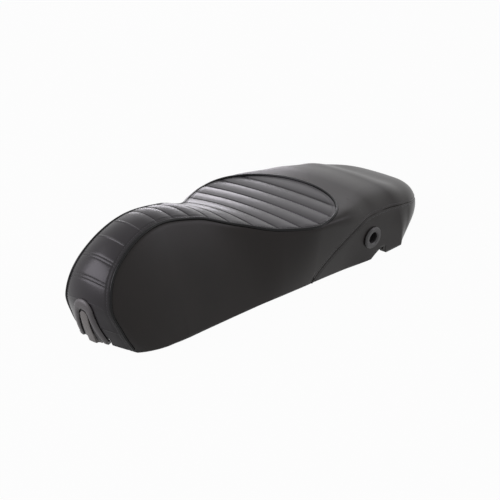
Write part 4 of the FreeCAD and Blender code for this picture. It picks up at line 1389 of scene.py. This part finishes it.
@dataclass
class BagHook:
    """Folding hook at the nose: a round loop on two legs, with an eye for the pin at each foot."""

    form: SeatForm
    foot_height: float = 15.0
    outer_foot: float = 31.5
    inner_foot: float = 21.5
    outer_radius: float = 20.0
    inner_radius: float = 9.8
    outer_height: float = 68.0
    inner_height: float = 62.0
    back: float = 0.7
    back_shares: Pair = (0.7, 0.3)
    swell_power: float = 2.6
    foot_stand: float = 3.2
    arch_stand: float = 4.6
    foot_round: float = 5.0
    foot_blunt: float = 0.15
    pivot_y: float = -336.5
    pivot_height: float = 20.0
    eye_radius: float = 3.8
    eye_short: float = 2.6
    eye_bevel: float = 0.6
    eye_end: float = 0.84
    eye_sides: int = 24
    leg_steps: int = 18
    arch_steps: int = 28
    across: int = 14
    nose_from: float = 20.0
    nose_turn: float = 69.5
    nose_steps: int = 90
    nose_columns: int = 80
    in_front: float = -600.0
    lean_step: float = 1.5

    def nose_tree(self) -> BVHTree:
        """Return a search tree over the front of the seat's form.

        Returns:
            The tree, in millimetres.
        """
        verts, faces = [], []
        for i in range(self.nose_steps + 1):
            angle = self.nose_from + self.nose_turn * i / self.nose_steps
            half = self.form.half_row(self.form.nose_station(angle), 0.0, self.nose_columns)
            verts += half + mirrored(half[:-1])
        row = 2 * self.nose_columns + 1
        for start in range(0, self.nose_steps * row, row):
            for j in range(start, start + row - 1):
                faces.append((j, j + 1, j + 1 + row, j + row))
        return BVHTree.FromPolygons(verts, faces)

    def on_nose(self, tree: BVHTree, place: Vector, stand: float) -> Vector:
        """Return the point that stands off the nose at a place in the front view.

        Args:
            tree: Search tree over the nose.
            place: The place across the seat and up from the rim.
            stand: Distance off the nose.

        Returns:
            The point.
        """

        def depth(across: float, up: float) -> float:
            """Return the Y of the nose."""
            return tree.ray_cast(Vector((across, self.in_front, up)), Vector((0, 1, 0)))[0].y

        x, z, step = place.x, place.y + self.form.rim, self.lean_step
        lean = Vector((depth(x + step, z) - depth(x - step, z), -2 * step,
                       depth(x, z + step) - depth(x, z - step)))
        return Vector((x, depth(x, z), z)) + lean.normalized() * stand

    def rows(self) -> list[tuple[Vector, Vector, float]]:
        """Return the loop's sections in the front view, from the left foot to the right one.

        Returns:
            An inner and an outer point for each section, and how far it stands off.
        """
        feet = [Vector((x, self.foot_height)) for x in (self.inner_foot, self.outer_foot)]
        tops = [Vector((self.inner_radius, self.inner_height)),
                Vector((self.outer_radius, self.outer_height))]
        half = []
        for i in range(self.leg_steps):
            share = i / self.leg_steps
            inner, outer = (foot.lerp(top, share) for foot, top in zip(feet, tops))
            run = (outer - feet[1]).length + self.foot_blunt
            close = math.sqrt(max(1 - (1 - min(run / self.foot_round, 1.0)) ** 2, 0.0))
            middle = (inner + outer) / 2
            stand = self.foot_stand + (self.arch_stand - self.foot_stand) * share
            half.append((middle.lerp(inner, close), middle.lerp(outer, close),
                         self.back + (stand - self.back) * close))
        for i in range(self.arch_steps // 2 + 1):
            angle = math.pi * i / self.arch_steps
            way = Vector((math.cos(angle), math.sin(angle)))
            half.append((way * self.inner_radius + Vector((0, self.inner_height)),
                         way * self.outer_radius + Vector((0, self.outer_height)),
                         self.arch_stand))
        turned = reversed(half[:-1])
        return half + [(Vector((-a.x, a.y)), Vector((-b.x, b.y)), s) for a, b, s in turned]

    def build(self) -> Object:
        """Build the hook.

        Returns:
            The new piece.
        """
        tree = self.nose_tree()
        shape = bmesh.new()
        rings = []
        for inner, outer, stand in self.rows():
            points = []
            for share in cosine_shares(self.across):
                swell = (1 - abs(2 * share - 1) ** self.swell_power) ** 0.5
                height = self.back + (stand - self.back) * swell
                points.append(self.on_nose(tree, inner.lerp(outer, share), height))
            for share in self.back_shares:
                points.append(self.on_nose(tree, inner.lerp(outer, share), self.back))
            rings.append(points)
        skin_rings(shape, rings)
        for side in (1, -1):
            self.eye(shape, side)
        bmesh.ops.recalc_face_normals(shape, faces=shape.faces)
        made = add_mesh("bag_hook_loop", shape, HOOK_PLASTIC)
        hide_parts("bag_hook")
        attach(made, HOOK_BODY)
        return made

    def eye(self, shape: BMesh, side: int) -> None:
        """Add the round eye at one foot, on the pin's axis.

        Args:
            shape: The hook's shape.
            side: 1 for the left foot and -1 for the right one.
        """
        bevel = self.eye_bevel
        start, end = self.inner_foot + bevel, self.outer_foot - self.eye_short
        profile = ((start, self.eye_end), (start + bevel, 1.0), (end - bevel, 1.0),
                   (end, self.eye_end))
        rings = []
        for x, share in profile:
            centre = Vector((side * x, self.pivot_y, self.form.rim + self.pivot_height))
            rings.append(ring(centre, Vector((0, 1, 0)), Vector((0, 0, 1)),
                              self.eye_radius * share, self.eye_sides))
        skin_rings(shape, rings)


@dataclass
class MouldedPiece:
    """A moulded plastic piece with soft edges, made over its solid."""

    node: str
    body: str
    surface: Surface
    slot: str = "hook_plastic"
    merge: float = 1e-5
    cell: float = 0.8
    passes: int = 10
    pass_share: float = 0.5

    def build(self, nodes: dict[str, Object]) -> Object:
        """Copy the solid, merge its triangles, round its edges and return the piece.

        Args:
            nodes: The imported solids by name.

        Returns:
            The new piece.
        """
        made = bpy.data.objects.new(self.node + "_moulding", nodes[self.node].data.copy())
        bpy.context.scene.collection.objects.link(made)
        bpy.ops.object.select_all(action="DESELECT")
        made.select_set(True)
        bpy.context.view_layer.objects.active = made
        bpy.ops.object.mode_set(mode="EDIT")
        bpy.ops.mesh.select_all(action="SELECT")
        bpy.ops.mesh.remove_doubles(threshold=self.merge)
        bpy.ops.object.mode_set(mode="OBJECT")
        cells = made.modifiers.new("cells", "REMESH")
        cells.mode = "VOXEL"
        cells.voxel_size = self.cell * MM
        bpy.ops.object.modifier_apply(modifier=cells.name)
        round_off = made.modifiers.new("round_off", "SMOOTH")
        round_off.factor = self.pass_share
        round_off.iterations = self.passes
        bpy.ops.object.modifier_apply(modifier=round_off.name)
        bpy.ops.object.shade_smooth()
        made.data.materials.clear()
        made.data.materials.append(self.surface.material())
        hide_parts(self.node)
        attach(made, self.body)
        return made


@dataclass
class Stitching:
    """Rows of thread laid on a panel.

    Each entry of profile is a ring of one stitch: its share of the length from the middle, its
    share of the radius, and its lift in radii.
    """

    name: str
    panel: Object
    lines: list[list[Vector]]
    pitch: float = 4.2
    length: float = 3.1
    radius: float = 0.36
    sides: int = 6
    profile: tuple[Triple, ...] = (
        (-0.5, 0.25, -0.5),
        (-0.36, 0.9, 0.05),
        (0.0, 1.0, 0.35),
        (0.36, 0.9, 0.05),
        (0.5, 0.25, -0.5),
    )

    def build(self) -> Object:
        """Build every stitch of the rows as one piece.

        Returns:
            The new piece.
        """
        shape = bmesh.new()
        surface = self.surface_tree()
        for line in self.lines:
            for point, way in even_points(line, self.pitch):
                place, normal, _, _ = surface.find_nearest(point * MM)
                self.stitch(shape, place / MM, normal, way)
        made = add_mesh(self.name, shape, THREAD)
        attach(made, SEAT_BODY)
        return made

    def surface_tree(self) -> BVHTree:
        """Return a search tree over the outer skin of the panel."""
        mesh = self.panel.data
        faces = [tuple(face.vertices) for face in mesh.polygons]
        return BVHTree.FromPolygons([vert.co for vert in mesh.vertices], faces)

    def stitch(self, shape: BMesh, place: Vector, normal: Vector, way: Vector) -> None:
        """Add one stitch: a short thread that dips into the panel at both ends.

        Args:
            shape: The shape that gets the stitch.
            place: Middle of the stitch, on the panel.
            normal: The panel's direction outwards.
            way: Direction of the row.
        """
        along = (way - normal * way.dot(normal)).normalized()
        across = along.cross(normal)
        rings = []
        for run, swell, lift in self.profile:
            centre = place + along * run * self.length + normal * lift * self.radius
            rings.append(ring(centre, normal, across, self.radius * swell, self.sides))
        skin_rings(shape, rings)


class Lamp(NamedTuple):
    """A soft lamp: its place and target in metres, its two sizes and its power in watts."""

    name: str
    place: Triple
    target: Triple
    width: float
    depth: float
    power: float


@dataclass
class Studio:
    """Pale floor, soft lamps and the camera at the photograph's angle, in metres."""

    camera_place: Triple = (2.0993, -2.0886, 1.4083)
    camera_right: Triple = (0.71934, 0.69288, -0.04967)
    camera_up: Triple = (-0.25910, 0.33396, 0.90628)
    camera_back: Triple = (0.64453, -0.63905, 0.41975)
    camera_reach: float = 60.0
    focal_pixels: float = 2080.0
    image_pixels: float = 500.0
    sensor: float = 36.0
    floor_size: float = 14.0
    floor_grey: float = 0.3
    floor_roughness: float = 0.9
    backdrop_share: float = 0.97
    backdrop_light: float = 1.0
    room_light: float = 0.3
    lamp_colour: Triple = (1.0, 0.95, 1.05)
    lamps: tuple[Lamp, ...] = (
        Lamp("back_softbox", (-1.5, 1.9, 1.5), (0.0, 0.0, 0.1), 2.4, 1.4, 4.5),
        Lamp("waist_softbox", (-1.25, 1.05, 0.2), (0.0, -0.15, 0.15), 0.5, 0.2, 1.5),
        Lamp("nose_softbox", (-0.9, -1.75, 1.25), (0.0, -0.33, 0.1), 1.8, 1.5, 34.0),
        Lamp("tail_softbox", (1.5, 1.3, 0.9), (0.0, 0.1, 0.08), 1.0, 0.8, 6.0),
    )

    def build(self, floor_height: float) -> None:
        """Set up the view, the floor, the lamps and the camera.

        Args:
            floor_height: Height of the floor in metres.
        """
        scene = bpy.context.scene
        scene.view_settings.view_transform = "Standard"
        self.world(scene)
        self.floor(floor_height)
        for lamp in self.lamps:
            self.hang(lamp)
        self.camera(scene)

    def world(self, scene: Scene) -> None:
        """Light the scene evenly and show white behind the seat.

        Args:
            scene: The scene.
        """
        world = bpy.data.worlds.new("studio")
        scene.world = world
        world.use_nodes = True
        tree = world.node_tree
        tree.nodes.clear()
        choose = tree.nodes.new("ShaderNodeMixShader")
        out = tree.nodes.new("ShaderNodeOutputWorld")
        tree.links.new(self.seen_rays(tree), choose.inputs[0])
        for i, strength in enumerate((self.room_light, self.backdrop_light), 1):
            light = tree.nodes.new("ShaderNodeBackground")
            light.inputs["Color"].default_value = (1, 1, 1, 1)
            light.inputs["Strength"].default_value = strength
            tree.links.new(light.outputs[0], choose.inputs[i])
        tree.links.new(choose.outputs[0], out.inputs["Surface"])

    def seen_rays(self, tree: NodeTree) -> NodeSocket:
        """Return 1 for rays that show the backdrop: camera, glossy and transmission rays.

        Args:
            tree: Nodes of the world or of the floor.

        Returns:
            The output with that value.
        """
        path = tree.nodes.new("ShaderNodeLightPath")
        total = path.outputs["Is Camera Ray"]
        for ray in ("Is Glossy Ray", "Is Transmission Ray"):
            either = tree.nodes.new("ShaderNodeMath")
            either.operation = "MAXIMUM"
            tree.links.new(total, either.inputs[0])
            tree.links.new(path.outputs[ray], either.inputs[1])
            total = either.outputs[0]
        return total

    def floor(self, height: float) -> None:
        """Lay a pale floor under the seat.

        Args:
            height: Height of the floor in metres.
        """
        bpy.ops.object.select_all(action="DESELECT")
        bpy.ops.mesh.primitive_plane_add(size=self.floor_size, location=(0, 0, height))
        floor = bpy.context.object
        floor.name = "studio_floor"
        made = bpy.data.materials.new("floor_paper")
        made.use_nodes = True
        tree = made.node_tree
        shader = tree.nodes["Principled BSDF"]
        shader.inputs["Base Color"].default_value = (*(self.floor_grey,) * 3, 1)
        shader.inputs["Roughness"].default_value = self.floor_roughness
        shader.inputs["Specular IOR Level"].default_value = 0.0
        white = tree.nodes.new("ShaderNodeEmission")
        white.inputs["Strength"].default_value = self.backdrop_light
        share = tree.nodes.new("ShaderNodeMath")
        share.operation = "MULTIPLY"
        share.inputs[1].default_value = self.backdrop_share
        choose = tree.nodes.new("ShaderNodeMixShader")
        tree.links.new(self.seen_rays(tree), share.inputs[0])
        tree.links.new(share.outputs[0], choose.inputs[0])
        tree.links.new(shader.outputs[0], choose.inputs[1])
        tree.links.new(white.outputs[0], choose.inputs[2])
        tree.links.new(choose.outputs[0], tree.nodes["Material Output"].inputs["Surface"])
        floor.data.materials.append(made)
        floor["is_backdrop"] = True

    def hang(self, lamp: Lamp) -> None:
        """Hang a soft lamp that faces its target.

        Args:
            lamp: The lamp.
        """
        data = bpy.data.lights.new(lamp.name, "AREA")
        data.shape = "RECTANGLE"
        data.size = lamp.width
        data.size_y = lamp.depth
        data.energy = lamp.power
        data.color = self.lamp_colour
        made = bpy.data.objects.new(lamp.name, data)
        made.location = lamp.place
        away = Vector(lamp.place) - Vector(lamp.target)
        made.rotation_euler = away.to_track_quat("Z", "Y").to_euler()
        bpy.context.scene.collection.objects.link(made)

    def camera(self, scene: Scene) -> None:
        """Place the camera as the photograph's was.

        Args:
            scene: The scene.
        """
        data = bpy.data.cameras.new("camera")
        data.sensor_width = self.sensor
        data.lens = self.focal_pixels / self.image_pixels * self.sensor
        data.clip_end = self.camera_reach
        camera = bpy.data.objects.new("camera", data)
        axes = Matrix((self.camera_right, self.camera_up, self.camera_back)).transposed()
        camera.matrix_world = Matrix.Translation(self.camera_place) @ axes.to_4x4()
        scene.collection.objects.link(camera)
        scene.camera = camera


def dress_nodes(nodes: dict[str, Object]) -> None:
    """Give every rigid node its finish.

    Args:
        nodes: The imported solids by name.
    """
    for name, surface in NODE_FINISHES.items():
        slots = nodes[name].material_slots
        if not slots:
            nodes[name].data.materials.append(surface.material())
        for slot in slots:
            slot.material = surface.material()
        LOG.info("dressed %s with %s", name, surface.name)


def plain(box: Iterable[Iterable[float]]) -> list[list[float]]:
    """Return the corners of a box as plain lists."""
    return [[float(value) for value in corner] for corner in box]


def main() -> None:
    """Load the frame, build the upholstery, dress the solids and set up the studio."""
    logging.basicConfig(level=logging.INFO, format="%(name)s: %(message)s")
    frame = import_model()
    solids = plain(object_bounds())
    form = SeatForm()
    seams = Seams(form)
    dress_nodes(frame["nodes"])
    pleated = PleatedInsert(form, seams, "pleated_insert_skin", INSERT_VINYL)
    cover = MainCover(form, seams, "main_cover_skin", COVER_VINYL).build()
    tail = TailPanel(form, seams, "tail_panel_skin", COVER_VINYL).build()
    insert = pleated.build()
    pieces = [
        cover,
        tail,
        insert,
        Piping(seams).build(),
        BagHook(form).build(),
        MouldedPiece("hook_base", SEAT_BODY, TONGUE_PLASTIC).build(frame["nodes"]),
    ]
    edge_row = seams.piping_line(pleated.stitch_inset)
    for rows in (
        Stitching("tail_seam_upper_stitches", cover, [seams.tail_line(-STITCH_ROW)]),
        Stitching("tail_seam_lower_stitches", tail, [seams.tail_line(STITCH_ROW)]),
        Stitching("insert_edge_stitches", insert, [edge_row]),
        Stitching("nose_seam_stitches", insert, pleated.twin_lines()),
    ):
        pieces.append(rows.build())
    for piece in pieces:
        LOG.info("built %s", piece.name)
    Studio().build(solids[0][2])


if __name__ == "__main__":
    main()
